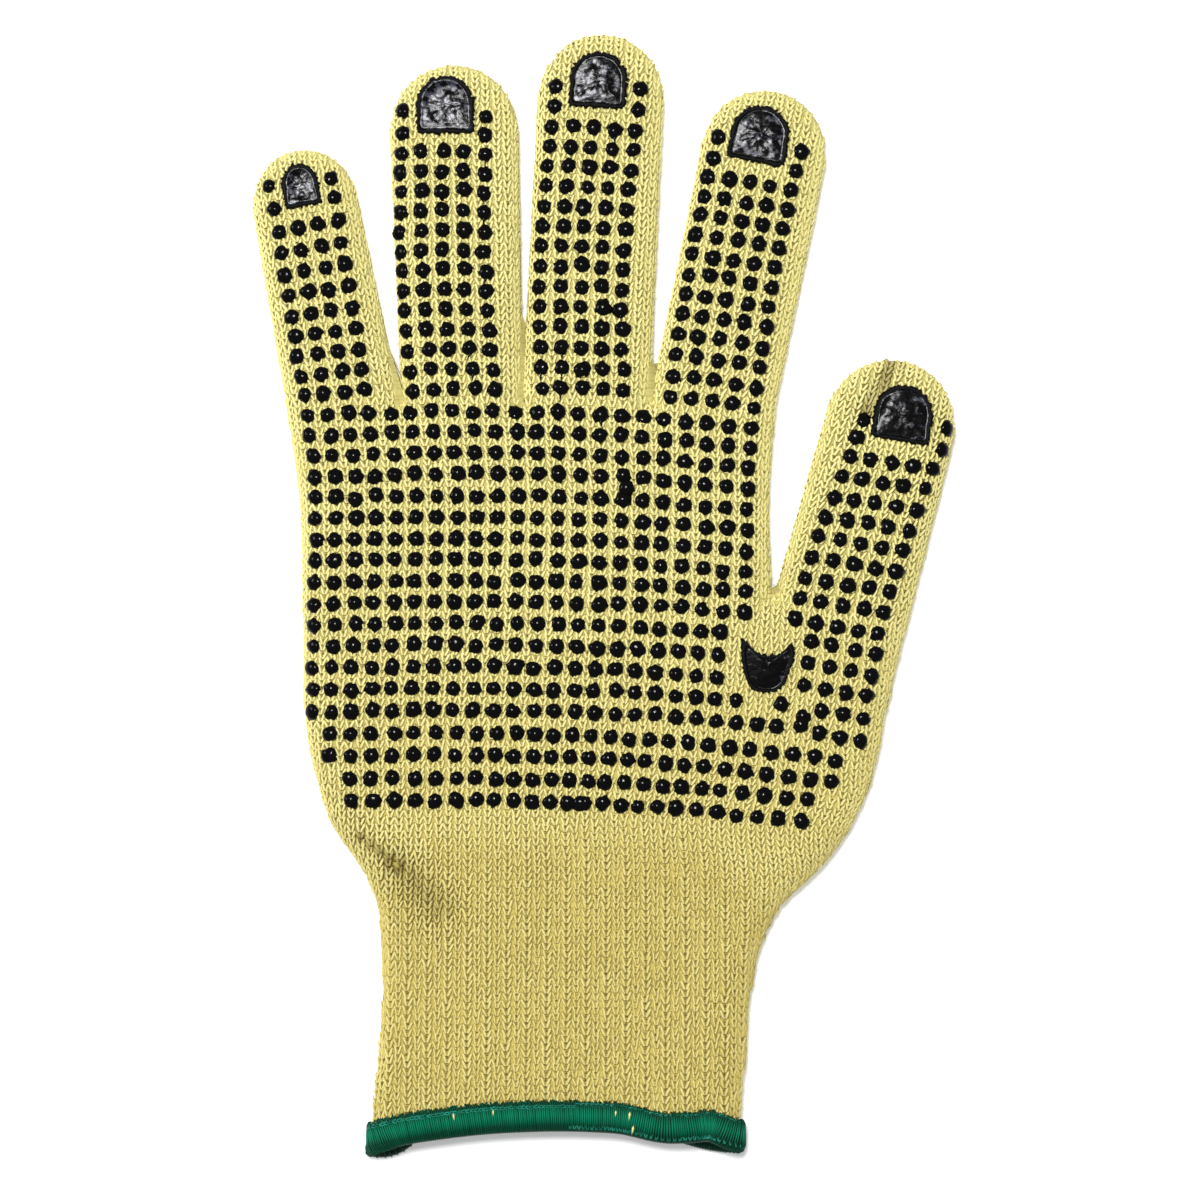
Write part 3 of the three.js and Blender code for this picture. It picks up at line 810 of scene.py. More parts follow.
def stitch_shape():
    """A V one wale wide and one course high. Its z is in millimetres."""
    body = new_body()
    foot, head = np.array(STRAND_FOOT), np.array(STRAND_HEAD)
    for mirror in (1, -1):
        spots = [foot + row["share"] * (head - foot) for row in STRAND]
        middles = [np.append(spot, row["rise"]) * (mirror, 1, 1) for spot, row in zip(spots, STRAND)]
        add_strand(body, middles, [row["thick"] for row in STRAND], STRAND_WIDE, STRAND_TALL, STRAND_SIDES)
    # A small dark spindle under the notch stands for the shade down the hole: painted shade.
    hole = [np.array([0.0, y, z]) for y, z in HOLE_SHADE]
    add_strand(body, hole, [0, 1, 0], HOLE_SHADE_WIDE, HOLE_SHADE_TALL, STRAND_SIDES, dark=True)
    return shape_of("stitch", body)


stitch = stitch_shape()
print("faces in a stitch:", len(stitch.data.polygons))

# %% [markdown]
# ## Knitting with Geometry Nodes
# The grid of places is a cloud of points that carry a turn and a size. A small tree sets a stitch on each
# one, tilts it a little by chance, as hand and machine tension do, makes the copies real and gives them
# their yarn. Building the tree once and feeding it different clouds keeps every part of the glove alike.

# %% A tree that sets one shape on every point
INPUTS = {"Shape": "NodeSocketObject", "Tilt": "NodeSocketFloat", "Size Change": "NodeSocketFloat",
          "Seed": "NodeSocketInt", "Finish": "NodeSocketMaterial"}


def setting_tree():
    """The tree, and the identifiers of its inputs by their names."""
    tree = bpy.data.node_groups.new("set_on_points", "GeometryNodeTree")
    for way in ("OUTPUT", "INPUT"):
        tree.interface.new_socket("Geometry", in_out=way, socket_type="NodeSocketGeometry")
    made = {name: tree.interface.new_socket(name, in_out="INPUT", socket_type=kind)
            for name, kind in INPUTS.items()}
    nodes = Nodes(tree)
    outputs = tree.nodes.new("NodeGroupInput").outputs
    given = {name: Signal(nodes, outputs[name]) for name in ("Geometry", *INPUTS)}

    def stored(name):
        return nodes.add("GeometryNodeInputNamedAttribute", {"data_type": "FLOAT_VECTOR"}, {"Name": name})

    def scaled(vector, scale):
        return nodes.add("ShaderNodeVectorMath", {"operation": "SCALE"}, {0: vector, "Scale": scale})

    def rotation(euler):
        return nodes.add("FunctionNodeEulerToRotation", None, {0: euler})

    ranges = {0: (-1, -1, -1), 1: (1, 1, 1), "Seed": given["Seed"]}
    chance = nodes.add("FunctionNodeRandomValue", {"data_type": "FLOAT_VECTOR"}, ranges)
    nudge = rotation(scaled(chance, given["Tilt"]))
    turns = {0: rotation(stored("turn")), 1: nudge}
    turn = nodes.add("FunctionNodeRotateRotation", {"rotation_space": "LOCAL"}, turns)
    ranges = {2: -1.0, 3: 1.0, "Seed": given["Seed"]}
    varied = nodes.add("FunctionNodeRandomValue", {"data_type": "FLOAT"}, ranges, 1)
    size = scaled(stored("size"), varied * given["Size Change"] + 1.0)
    shape = nodes.add("GeometryNodeObjectInfo", None, {"Object": given["Shape"]}, "Geometry")
    placing = {"Points": given["Geometry"], "Instance": shape, "Rotation": turn, "Scale": size}
    placed = nodes.add("GeometryNodeInstanceOnPoints", None, placing)
    real = nodes.add("GeometryNodeRealizeInstances", None, {0: placed})
    done = nodes.add("GeometryNodeSetMaterial", None, {"Geometry": real, "Material": given["Finish"]})
    nodes.join(done, tree.nodes.new("NodeGroupOutput").inputs[0])
    return tree, {name: socket.identifier for name, socket in made.items()}


SETTING, SETTING_NAMES = setting_tree()
print("inputs of the tree:", list(SETTING_NAMES))


# %% Set a shape on a cloud of points
def set_on(name, points, shape, finish, seed, tilt, size_change=0.0):
    """Sets a shape on every point and keeps a plain mesh. The modifier goes away with its carrier."""
    carrier = in_scene(name + "_points", points)
    modifier = carrier.modifiers.new("set", "NODES")
    modifier.node_group = SETTING
    values = {"Shape": shape, "Tilt": tilt, "Size Change": size_change, "Seed": seed, "Finish": finish}
    for key, value in values.items():
        modifier[SETTING_NAMES[key]] = value
    evaluated = carrier.evaluated_get(bpy.context.evaluated_depsgraph_get())
    mesh = bpy.data.meshes.new_from_object(evaluated)
    mesh.name = name
    bpy.data.objects.remove(carrier)
    return in_scene(name, mesh)


def cloud(place, across, along, normal, size, **facts):
    """A mesh of points in millimetres that carry a turn, a size and other facts."""
    mesh = bpy.data.meshes.new("cloud")
    mesh.from_pydata([Vector(p * MM) for p in place], [], [])
    turns = [Matrix((a, b, c)).transposed().to_euler()[:] for a, b, c in zip(across, along, normal)]
    for name, values in dict(turn=turns, size=size, **facts).items():
        values = np.asarray(values, np.float32)
        kind, key = ("FLOAT_VECTOR", "vector") if values.ndim == 2 else ("FLOAT", "value")
        mesh.attributes.new(name, kind, "POINT").data.foreach_set(key, values.ravel())
    return mesh


# %% Knit every part of the glove
UNEVEN = 0.09  # how far a stitch strays from its place, in millimetres
TILT = 0.13  # how far it leans out of line, in radians
SWELLING = 0.08  # how far its size strays, as a share
SIDE_NAMES = {UP: "palm_side", DOWN: "back"}


def knit(name, stitches, seed):
    """Sets a stitch on each place of a list."""
    place, across, along, normal, width, height, cuff = stitches.joined()
    rng = np.random.default_rng(seed)
    for way in (across, along):
        place = place + rng.normal(0, UNEVEN, (len(place), 1)) * way
    size = np.stack([width, height, np.ones(len(width))], -1) * MM
    warmth = np.clip((WARM_FROM - place[:, 1]) / WARM_REACH, 0, 1)
    # Painted shade in the folds, on the palm side only.
    crease = np.clip(folded(place[:, :2], "shade"), 0, 1) * (normal[:, 2] > 0)
    points = cloud(place, across, along, normal, size, tint=rng.random(len(width)),
                   cuff=cuff * (1 - WARM) + WARM * warmth, crease=crease)
    return set_on(name, points, stitch, aramid_yarn, seed, TILT, SWELLING)


knitted = {}
for (part, side), stitches in stitches_of.items():
    name = f"{part}_stitches_{SIDE_NAMES[side]}"
    knitted[name] = knit(name, stitches, len(knitted) + 1)
print("stitch faces:", {name: len(piece.data.polygons) for name, piece in knitted.items()})

# %% [markdown]
# ## Black grip rubber
# Dots and pads are soft black PVC. It is squeezed through a stencil onto the cloth and baked, so it is
# glossy on top, never quite smooth, and its rim creeps along the yarn.

# %% Grip finishes
RUBBER, RUBBER_WORN = (0.0012, 0.0012, 0.0014, 1), (0.003, 0.003, 0.0036, 1)
RUBBER_REFLECTION = (0.018, 0.019, 0.034, 1)  # a lilac grey painted where the glossy face reflects the room: a painted reflection


def dot_finish():
    nodes = Finish("dot_rubber")
    return nodes.done(Base_Color=nodes.mix(nodes.speckle(900.0), RUBBER, RUBBER_WORN), Roughness=0.12,
                      Normal=nodes.bump(nodes.speckle(900.0, 3.0), 0.00005), Specular_IOR_Level=0.09)


def pad_finish():
    """Matt where the fact gloss is 0. The rest is glossy, with patches of clear coat and painted reflection.
    """
    nodes = Finish("pad_rubber")
    gloss, film = nodes.attribute("gloss"), nodes.attribute("film")
    # Patches of the face carry a clear coat and a lilac grey painted in as a painted reflection.
    patches = nodes.kept((nodes.speckle(700.0, 3.0) + film - 1) * 14.0) * gloss
    return nodes.done(Base_Color=nodes.mix(patches, RUBBER, RUBBER_REFLECTION), Roughness=gloss * -0.4 + 0.6,
                      Normal=nodes.bump(nodes.speckle(1500.0, 2.0), 0.00004), Specular_IOR_Level=0.1,
                      Coat_Weight=patches * 0.34, Coat_Roughness=0.34, Coat_IOR=1.7)


dot_rubber, pad_rubber = dot_finish(), pad_finish()
print("finishes:", dot_rubber.name, pad_rubber.name)

# %% [markdown]
# ## The dots
# The stencil follows the knit: straight rows across fingers and thumb, and long rows over the palm that rise
# a little, then drop towards the thumb. Each block of rows is charted by its first and last row, and what
# lies between is spaced evenly, which is how a printer would lay out the stencil. The cloth was stretched on
# a form for printing, so rows and columns bulge a little now that it is off.

# %% Chart of the dots
# Blocks of rows: x and y of the left and the right dot of the first row and of the last one, and how many
# rows and dots. The middle rows are moved by aside and lift, and a row's middle by bow, squeeze and pinch.
DOT_BLOCKS = table("first last rows dots aside lift bow squeeze pinch", [
    ((-72.2, 80.7, -58.9, 83.4), (-66.6, 44.4, -52.9, 45.7), 9, 4, 0.1, -0.5),
    ((-74.2, 90.9, -60.7, 92.9), (-73.1, 86.0, -59.8, 88.2), 2, 2),
    ((-45.2, 98.4, -26.3, 98.0), (-42.5, 45.5, -24.1, 45.7), 13, 5, -1.1, 0.15, 0.4),
    ((-44.7, 107.7, -26.1, 106.6), (-44.7, 102.8, -26.3, 102.4), 2, 2),
    ((-11.5, 104.2, 6.9, 103.1), (-13.9, 46.2, 4.4, 45.5), 14, 5, -1.4, 0.3, 0.2),
    ((-10.6, 113.0, 8.0, 112.4), (-11.1, 108.6, 7.5, 107.7), 2, 2),
    ((23.0, 93.1, 41.4, 90.0), (14.6, 44.4, 33.2, 41.7), 12, 5, -0.5, 0.45, 0.2),
    ((25.5, 101.7, 43.6, 98.6), (24.1, 97.3, 42.7, 94.4), 2, 2),
    ((54.5, 30.9, 72.8, 28.2), (42.1, -4.8, 60.9, -8.3), 9, 5, -0.8, 0.1),
    ((57.3, 39.1, 75.9, 37.3), (56.0, 35.1, 74.8, 32.7), 2, 2),
    ((45.8, -10.1, 60.0, -12.7), (44.5, -19.8, 58.2, -22.2), 3, 4),
    ((48.3, -25.3, 57.6, -27.1), (47.6, -30.2, 56.7, -32.0), 2, 3),
    ((-65.7, 40.0, 32.4, 37.3), (-64.0, 26.3, 31.8, 23.8), 4, 22, 0, 0, 2.35, -0.7),
    ((-63.8, 21.8, 31.7, 19.2), (-64.2, -1.7, 31.0, -3.7), 6, 22, 0, 0, 1.6, -0.7),
    ((-64.2, -6.4, 25.9, -8.1), (-64.8, -15.8, 25.0, -17.8), 3, 21, 0, 0, 1.3),
    ((-64.8, -20.6, 29.2, -23.0), (-64.8, -20.6, 29.2, -23.0), 1, 22, 0, 0, 1.4),
    ((-64.8, -25.7, 38.4, -28.9), (-64.8, -25.7, 38.4, -28.9), 1, 24, 0, 0, 2.0),
    ((-60.9, -30.4, 51.3, -36.1), (-61.0, -35.3, 50.3, -41.0), 2, 26, 0, 0, 2.5, 0, 1.3),
    ((-56.4, -40.3, 45.1, -45.1), (-56.0, -45.2, 43.5, -49.7), 2, 24, 0, 0, 1.9, 0, 1.6),
])
SINGLE_DOTS = [(39.2, -24.0), (43.8, -26.6), (43.6, -28.4), (-5.2, -45.9), (4.9, 24.3)]
BOW = [0, 0.68, 1, 0.86, 0]  # how a bowed row rises, at quarters of its length
DOT_STRAY = 0.14  # how far a dot strays from its place
SEEDS = dict(chart=11, dots=5, domes=8, rims=3, tails=21, tail_shapes=9, threads=31, locking=32, flecks=34)


def dot_spots():
    quarters = np.linspace(0, 1, len(BOW))
    spots = [np.array(SINGLE_DOTS)]
    for block in DOT_BLOCKS:
        shares = np.linspace(0, 1, block["dots"])
        swell, twist = np.sin(math.pi * shares), np.sin(2 * math.pi * shares)
        bowed = np.interp(shares, quarters, BOW)
        for step in np.linspace(0, 1, block["rows"]):
            xl, yl, xr, yr = (1 - step) * np.array(block["first"]) + step * np.array(block["last"])
            bulge = math.sin(math.pi * step)
            x = xl + shares * (xr - xl) + block["aside"] * bulge + block["squeeze"] * swell
            y = yl + shares * (yr - yl) + block["lift"] * bulge + block["bow"] * bowed
            spots.append(np.stack([x + block["pinch"] * twist, y], -1))
    return np.concatenate(spots)


dots_at = dot_spots()
dots_at += np.random.default_rng(SEEDS["chart"]).normal(0, DOT_STRAY, dots_at.shape)
print("dots:", len(dots_at))

# %% [markdown]
# ## A dot
# A dot is a low dome with a steep rim. It is set on each charted spot by the same tree as the stitches,
# turned by chance, and its rim is pulled about where the soft rubber ran into the stitches. Here and there a
# thread of rubber was drawn from one dot to the next when the stencil was lifted.

# %% The dome
DOME_SIDES = 16
# From the rim to the top: the share of the radius and of the height.
DOME = table("out up", [(0.98, -0.3), (1.0, 0.3), (0.8, 0.68), (0.46, 0.88), (0.2, 0.97)])


def dome_shape():
    body = new_body()
    turns = [2 * math.pi * k / DOME_SIDES for k in range(DOME_SIDES)]
    rings = [[body.verts.new((row["out"] * math.cos(t), row["out"] * math.sin(t), row["up"])) for t in turns]
             for row in DOME]
    bridge(body, rings + [[body.verts.new(UPRIGHT)]])
    body.faces.new(rings[0][::-1])
    return shape_of("dome", body)


dome = dome_shape()
print("faces in a dot:", len(dome.data.polygons))

# %% Dots with ragged rims
DOT_RADIUS, DOT_RISE = 1.71, 0.95
DOT_SINK = 0.15  # how deep a dot is pressed into the cloth
DOT_SIZES = dict(wide=0.03, long=0.04, high=0.08)  # how much its sizes vary, as shares
RIM_FROM = 0.6  # share of the radius beyond which a rim is ragged
RIM_SLOW, RIM_QUICK = 0.16, 0.08  # how far it is pulled in long and in short waves, as shares of the radius
RIM_NOISE = 700  # how close together the long waves lie, per metre
DOT_TILT = 0.05


def corners_of(mesh):
    """A mesh's corners in metres, one row each."""
    corners = np.empty(len(mesh.vertices) * 3, np.float32)
    mesh.vertices.foreach_get("co", corners)
    return corners.reshape(-1, 3)


def move_corners(mesh, corners):
    mesh.vertices.foreach_set("co", corners.ravel())
    mesh.update()


def ragged(mesh, spots, seed):
    """Pulls the rims of set domes in and out, each dot in its own way."""
    corners = corners_of(mesh)
    out = corners[:, :2] - np.repeat(spots * MM, len(corners) // len(spots), axis=0)
    slow = np.array([noise.noise(Vector((p[0] * RIM_NOISE, p[1] * RIM_NOISE, seed))) for p in corners])
    quick = np.random.default_rng(seed).normal(0, RIM_QUICK, len(corners))
    low = np.clip(np.hypot(*out.T) / (DOT_RADIUS * MM) - RIM_FROM, 0, 1 - RIM_FROM) / (1 - RIM_FROM)
    corners[:, :2] += out * ((slow * RIM_SLOW + quick) * low)[:, None]
    move_corners(mesh, corners)


def turned_ways(spots, turn):
    """Ways across, along and out of the palm side at spots, where along points along a turn of the plan."""
    return ways_on(spots, UP, np.stack([np.sin(turn), np.cos(turn), np.zeros(len(spots))], -1))


def set_dots():
    rng = np.random.default_rng(SEEDS["dots"])
    count = len(dots_at)
    across, along, normal = turned_ways(dots_at, rng.random(count) * 2 * math.pi)
    place = lifted(dots_at, UP) - normal * DOT_SINK
    wide = DOT_RADIUS * (1 + rng.normal(0, DOT_SIZES["wide"], count))
    long = wide * (1 + rng.normal(0, DOT_SIZES["long"], count))
    high = DOT_RISE * (1 + rng.normal(0, DOT_SIZES["high"], count))
    points = cloud(place, across, along, normal, np.stack([wide, long, high], -1) * MM)
    piece = set_on("grip_dots", points, dome, dot_rubber, SEEDS["domes"], DOT_TILT)
    ragged(piece.data, place[:, :2], SEEDS["rims"])
    return piece


grip_dots = set_dots()
print("dot faces:", len(grip_dots.data.polygons))

# %% Drawn threads of rubber
TAIL = dict(wide=0.34, length=2.3, tall=0.4)
TAIL_SIDES = 6
TAIL_TURN, TAIL_SIZES, TAIL_CHANGE = 0.2, (0.6, 1.1), 0.1  # how much its direction and its sizes vary
# Along a thread that is one long and one wide: y, height and thickness.
TAIL_LINE = [(0.4, 0.1, 0), (0.0, 0.2, 1), (-0.45, 0.12, 0.5), (-1.0, 0.05, 0)]
TAIL_START = 0.75  # how far from a dot's middle its thread starts, as a share of the radius
# Where dots have one, and the share of the dots there.
TAIL_AREAS = table("left right low high share", [
    (-30, -18, 48, 104, 0.35), (2, 12, 48, 108, 0.4), (-14, 2, 40, 62, 0.2), (-42, 30, -12, 34, 0.02)])


def tail_shape():
    body = new_body()
    middles = [np.array([0.0, y, z]) for y, z, _ in TAIL_LINE]
    add_strand(body, middles, [thick for _, _, thick in TAIL_LINE], 1.0, 1.0, TAIL_SIDES)
    return shape_of("tail", body)


def set_tails():
    rng = np.random.default_rng(SEEDS["tails"])
    chosen = np.zeros(len(dots_at), bool)
    for area in TAIL_AREAS:
        above = dots_at > (area["left"], area["low"])
        below = dots_at < (area["right"], area["high"])
        chosen |= (above & below).all(1) & (rng.random(len(dots_at)) < area["share"])
    spots = dots_at[chosen] - (0, DOT_RADIUS * TAIL_START)
    ways_there = turned_ways(spots, rng.normal(0, TAIL_TURN, len(spots)))
    size = np.array(list(TAIL.values())) * MM * rng.uniform(*TAIL_SIZES, (len(spots), 1))
    points = cloud(lifted(spots, UP), *ways_there, size)
    return set_on("dot_tails", points, tail, dot_rubber, SEEDS["tail_shapes"], DOT_TILT, TAIL_CHANGE)


tail = tail_shape()
dot_tails = set_tails()
print("threads between dots:", len(dot_tails.data.vertices) // len(tail.data.vertices))

# %% [markdown]
# ## The moulded pads
# Each fingertip has a D-shaped pad, and the thumb's crotch a patch with two horns. They were cast in shallow
# moulds: a matt rim, whose outer edge crept into the yarn, stands round a sunken face that wrinkled while it
# cured and shines like wet ink. So a pad is a set of rings that run inwards from its outline.

# %% Outlines of pads and patch
PATCH = "thumb_crotch_patch"
# Place, size and turn of each one, how deep its face's wrinkles are, and how much of the face carries a
# coat and a painted reflection.
PADS = table("name x y width length turn crinkle film", [
    ("little_finger_pad", -67.3, 91.1, 8.2, 9.6, -10, 0.17, 0.48),
    ("ring_finger_pad", -35.2, 109, 12.8, 12.9, 0, 0.17, 0.495),
    ("middle_finger_pad", -1.2, 114.5, 12.6, 12.4, 4, 0.17, 0.475),
    ("index_finger_pad", 34.6, 102.4, 12.9, 12.6, 11, 0.14, 0.47),
    ("thumb_pad", 66.3, 40.5, 12.9, 12.4, 9, 0.1, 0.42),
    (PATCH, 36, -15.2, 11.8, 12.2, 4, 0.05, 0.34),
])
# Right half of the patch's outline, as shares of its half width and half length.
PATCH_CORNERS = [(0, 0.36), (0.33, 0.42), (0.62, 0.6), (0.84, 0.84), (1, 0.78), (0.94, 0.1), (0.7, -0.65),
                 (0.35, -0.95), (0, -1)]
PAD_POINTS = 96
PAD_CORNER = 0.9  # radius of a pad's lower corners
TOP_POINTS, CORNER_POINTS = 40, 6  # points along a pad's round top and along each lower corner
PATCH_STEPS = 8  # points from one corner of the patch to the next


def evenly(points, count):
    """Even points round a closed line."""
    line = np.vstack([points, points[:1]])
    arc = arc_of(line)
    wanted = np.linspace(0, arc[-1], count, endpoint=False)
    return np.stack([np.interp(wanted, arc, line[:, k]) for k in range(line.shape[1])], -1)


def pad_outline(width, length):
    w, h, r = width / 2, length / 2, PAD_CORNER
    turns = np.linspace(0, math.pi, TOP_POINTS)
    corner = np.linspace(0, math.pi / 2, CORNER_POINTS)
    top = np.stack([w * np.cos(turns), h * np.sin(turns)], -1)
    left = np.stack([-w + r - r * np.cos(corner), -h + r - r * np.sin(corner)], -1)
    right = np.stack([w - r + r * np.sin(corner), -h + r - r * np.cos(corner)], -1)
    return evenly(np.vstack([top, left, right]), PAD_POINTS)


def patch_outline(width, length):
    half = np.array(PATCH_CORNERS)
    corners = np.vstack([half, half[-2:0:-1] * (-1, 1)]) * (width / 2, length / 2)
    before, after, later = (np.roll(corners, k, axis=0) for k in (1, -1, -2))
    square, cube = 2 * before - 5 * corners + 4 * after - later, 3 * corners - before - 3 * after + later
    rounds = [0.5 * (2 * corners + (after - before) * t + (square * t**2 + cube * t**3))
              for t in np.linspace(0, 1, PATCH_STEPS, endpoint=False)]
    return evenly(np.stack(rounds, 1).reshape(-1, 2), PAD_POINTS)


# %% Rim and face
# From the outline to the face's edge: the share of that way, height over the cloth, raggedness and gloss.
RIM = table("share up ragged gloss", [
    (0.0, -0.6, 0.1, 0), (-0.04, 0.15, 1, 0), (0.12, 0.5, 0.9, 0), (0.4, 0.72, 0.5, 0), (0.75, 0.66, 0.25, 0),
    (0.92, 0.56, 0.1, 0.6), (1.0, 0.5, 0, 1)])
RIM_WIDTH = 1.0
PATCH_FACE = dict(wide=0.83, long=0.8, lower=0.5)  # its shares of the patch, and how much lower it lies
FACE_STEPS = 14
RAGGED = 0.24  # how far the rim's edge runs in and out, in millimetres
SWELL = 0.25  # how much higher the middle of a face stands than its edge
# How close together the face's wrinkles lie, per millimetre, and how fast they rise from its edge.
WRINKLES = dict(across=0.45, along=0.55, start=4)
FRACTAL = (1.0, 2.0, 3)  # how fast finer wrinkles fade, how much finer each next kind is, and how many kinds


def wrinkled(spots, seed):
    scaled = spots * (WRINKLES["across"], WRINKLES["along"]) + (seed, 0)
    return np.array([noise.fractal(Vector((x, y, 0)), *FRACTAL) for x, y in scaled])


# %% Mould the pads and the patch
def moulding(pad, seed):
    """A pad or patch, from a foot in the cloth over its rim to the middle of its face."""
    outline = (patch_outline if pad["name"] == PATCH else pad_outline)(pad["width"], pad["length"])
    turn = math.radians(pad["turn"])
    turned = np.array([[math.cos(turn), -math.sin(turn)], [math.sin(turn), math.cos(turn)]])
    face = outline * (1 - RIM_WIDTH / np.linalg.norm(outline, axis=1, keepdims=True))
    if pad["name"] == PATCH:
        face = outline * (PATCH_FACE["wide"], PATCH_FACE["long"]) - (0, PATCH_FACE["lower"])
    jags = np.random.default_rng(seed).normal(0, 1, (PAD_POINTS, 1)) * RAGGED / RIM_WIDTH
    rings = [outline + (face - outline) * (row["share"] + jags * row["ragged"]) for row in RIM]
    ups = [np.full(PAD_POINTS, row["up"]) for row in RIM]
    gloss = [row["gloss"] for row in RIM] + [1] * (FACE_STEPS - 1)
    edge = rings[-1]
    for share in np.linspace(1, 0, FACE_STEPS + 1)[1:-1]:
        rings.append(edge * share)
        depth_here = pad["crinkle"] * min(1, WRINKLES["start"] * (1 - share))
        ups.append(RIM[-1]["up"] + SWELL * (1 - share**2) + depth_here * wrinkled(rings[-1], seed))
    corners = lifted(np.array(rings) @ turned + (pad["x"], pad["y"]), UP)
    corners[..., 2] += ups
    body = new_body()
    glosses, reflection_shares = body.verts.layers.float.new("gloss"), body.verts.layers.float.new("film")
    made = [[body.verts.new(corner) for corner in ring] for ring in corners * MM]
    for ring, value in zip(made, gloss):
        for vertex in ring:
            vertex[glosses], vertex[reflection_shares] = value, pad["film"]
    bridge(body, made)
    body.faces.new(made[-1])
    body.faces.new(made[0][::-1])
    bmesh.ops.triangulate(body, faces=body.faces[-2:])
    piece = shape_of(pad["name"] + "_rubber", body)
    piece.data.materials.append(pad_rubber)
    return piece


mouldings = {pad["name"]: moulding(pad, seed) for seed, pad in enumerate(PADS, 1)}
print("faces of pads and patch:", {name: len(piece.data.polygons) for name, piece in mouldings.items()})

# %% [markdown]
# ## The green hem
# An overlock machine wraps thread round the cut edge, one turn every half millimetre, and locks the turns
# with a chain along the top and a row of small loops along the bottom. A core lies under the threads, so
# that no gap shows the yarn inside; it takes the threads' painted shade all over, so it is dark.

# %% The ring round the mouth
HEM_HEIGHT, HEM_GRIP = 7.0, 4.2  # the hem's height, and how much of it lies above the mouth's line
CLOTH = 1.5  # thickness of the cloth
MOUTH_STEPS = 400
PLAN_REACH, RING_REACH = 3, 2  # over how many steps to both sides a ring's direction is taken


def heading(ring, reach):
    """The ways along a closed line."""
    return unit(np.roll(ring, -reach, axis=0) - np.roll(ring, reach, axis=0))


def mouth_ring(count):
    """Even places round the hem's top edge in the middle of the cloth, with the ways round, up and out."""
    left, width = left_edge(MOUTH), right_edge(MOUTH) - left_edge(MOUTH)
    halves = []
    for side in (UP, DOWN):
        offsets, _ = round_edges(np.linspace(-SPARE[side], width + SPARE[side], MOUTH_STEPS), width, side)
        spots = np.stack([left + offsets, np.full(MOUTH_STEPS, MOUTH)], -1)
        halves.append(lifted(spots, side)[::side, [0, 2]])
    loop = evenly(np.concatenate(halves), count)
    x, z = loop.T
    way = heading(loop, PLAN_REACH)
    out = np.stack([-way[:, 1], np.zeros(count), way[:, 0]], -1)
    y = MOUTH + HEM_GRIP - hang(MOUTH, x, share_of_thickness(MOUTH, z))
    top = np.stack([x, y, z], -1) - out * CLOTH / 2
    round_way = heading(top, RING_REACH)
    return top, round_way, unit(np.cross(out, round_way)), out


around = float(arc_of(mouth_ring(MOUTH_STEPS)[0])[-1])
print("round the mouth in mm:", round(around))

# %% Core and wrapped thread
# The hem's section from its outer top edge round the bottom: how far out and how far down, in millimetres.
CORE = [(1.0, 0.7), (1.4, 1.2), (1.5, 3), (1.45, 5.4), (1.0, 6.55), (0, 6.98)]
CORE_STEPS = 360
THREAD = [(0.75, -0.1), (1.2, 0.15), (1.55, 0.9), (1.65, 3), (1.55, 5.3), (1.0, 6.6), (0, 7)]
THREAD_WIDE, THREAD_TALL, THREAD_SIDES = 0.24, 0.2, 4
GREEN, GREEN_LIGHT = (0.0, 0.15, 0.07, 1), (0.001, 0.215, 0.11, 1)
# duller patches, and the painted shade down the sides of each turn
GREEN_WORN, GREEN_SHADE = (0.0, 0.13, 0.062, 1), (0.0, 0.014, 0.006, 1)


def hem_finish():
    nodes = Finish("hem_thread")
    plain = nodes.mix(nodes.attribute("tint"), GREEN, GREEN_LIGHT)
    worn = nodes.mix(nodes.speckle(150.0) * 0.5, plain, GREEN_WORN)
    # Painted shade down the sides of each turn and between turns.
    colour = nodes.mix((1 - nodes.attribute("crest")) ** 1.6, worn, GREEN_SHADE)
    return nodes.done(Base_Color=colour, Roughness=0.6, Normal=nodes.bump(nodes.speckle(2500.0), 0.00008),
                      Specular_IOR_Level=0.12)


def mirrored(section):
    return section + [(-out, down) for out, down in section[-2::-1]]


def hem_core():
    top, _, up, out = mouth_ring(CORE_STEPS)
    body = new_body()
    section = mirrored(CORE)
    rings = [[body.verts.new((t + o * a - u * d) * MM) for a, d in section] for t, u, o in zip(top, up, out)]
    bridge(body, rings, closed=True)
    # Its corners all keep the lowest crest, so the whole core takes the threads' painted shade.
    piece = shape_of("hem_core", body)
    piece.data.materials.append(hem_thread)
    return piece


def thread_shape():
    """One turn of thread. x runs round the hem, y up from its bottom and z outwards, all in millimetres."""
    line = np.array([(out, HEM_HEIGHT - down) for out, down in mirrored(THREAD)])
    middles = [np.array([0.0, y, z]) for z, y in line]
    outs = [(0.0, z, -y) for z, y in unit(np.gradient(line, axis=0))]
    body = new_body()
    add_strand(body, middles, [0] + [1] * (len(line) - 2) + [0], THREAD_WIDE, THREAD_TALL, THREAD_SIDES, outs)
    return shape_of("thread", body)


hem_thread = hem_finish()
core = hem_core()
thread = thread_shape()
print("faces of the core and of a turn of thread:", len(core.data.polygons), len(thread.data.polygons))

# %% Wrap the hem
THREAD_STEP = 0.47
SLANT = 0.06  # how far a thread leans, in radians


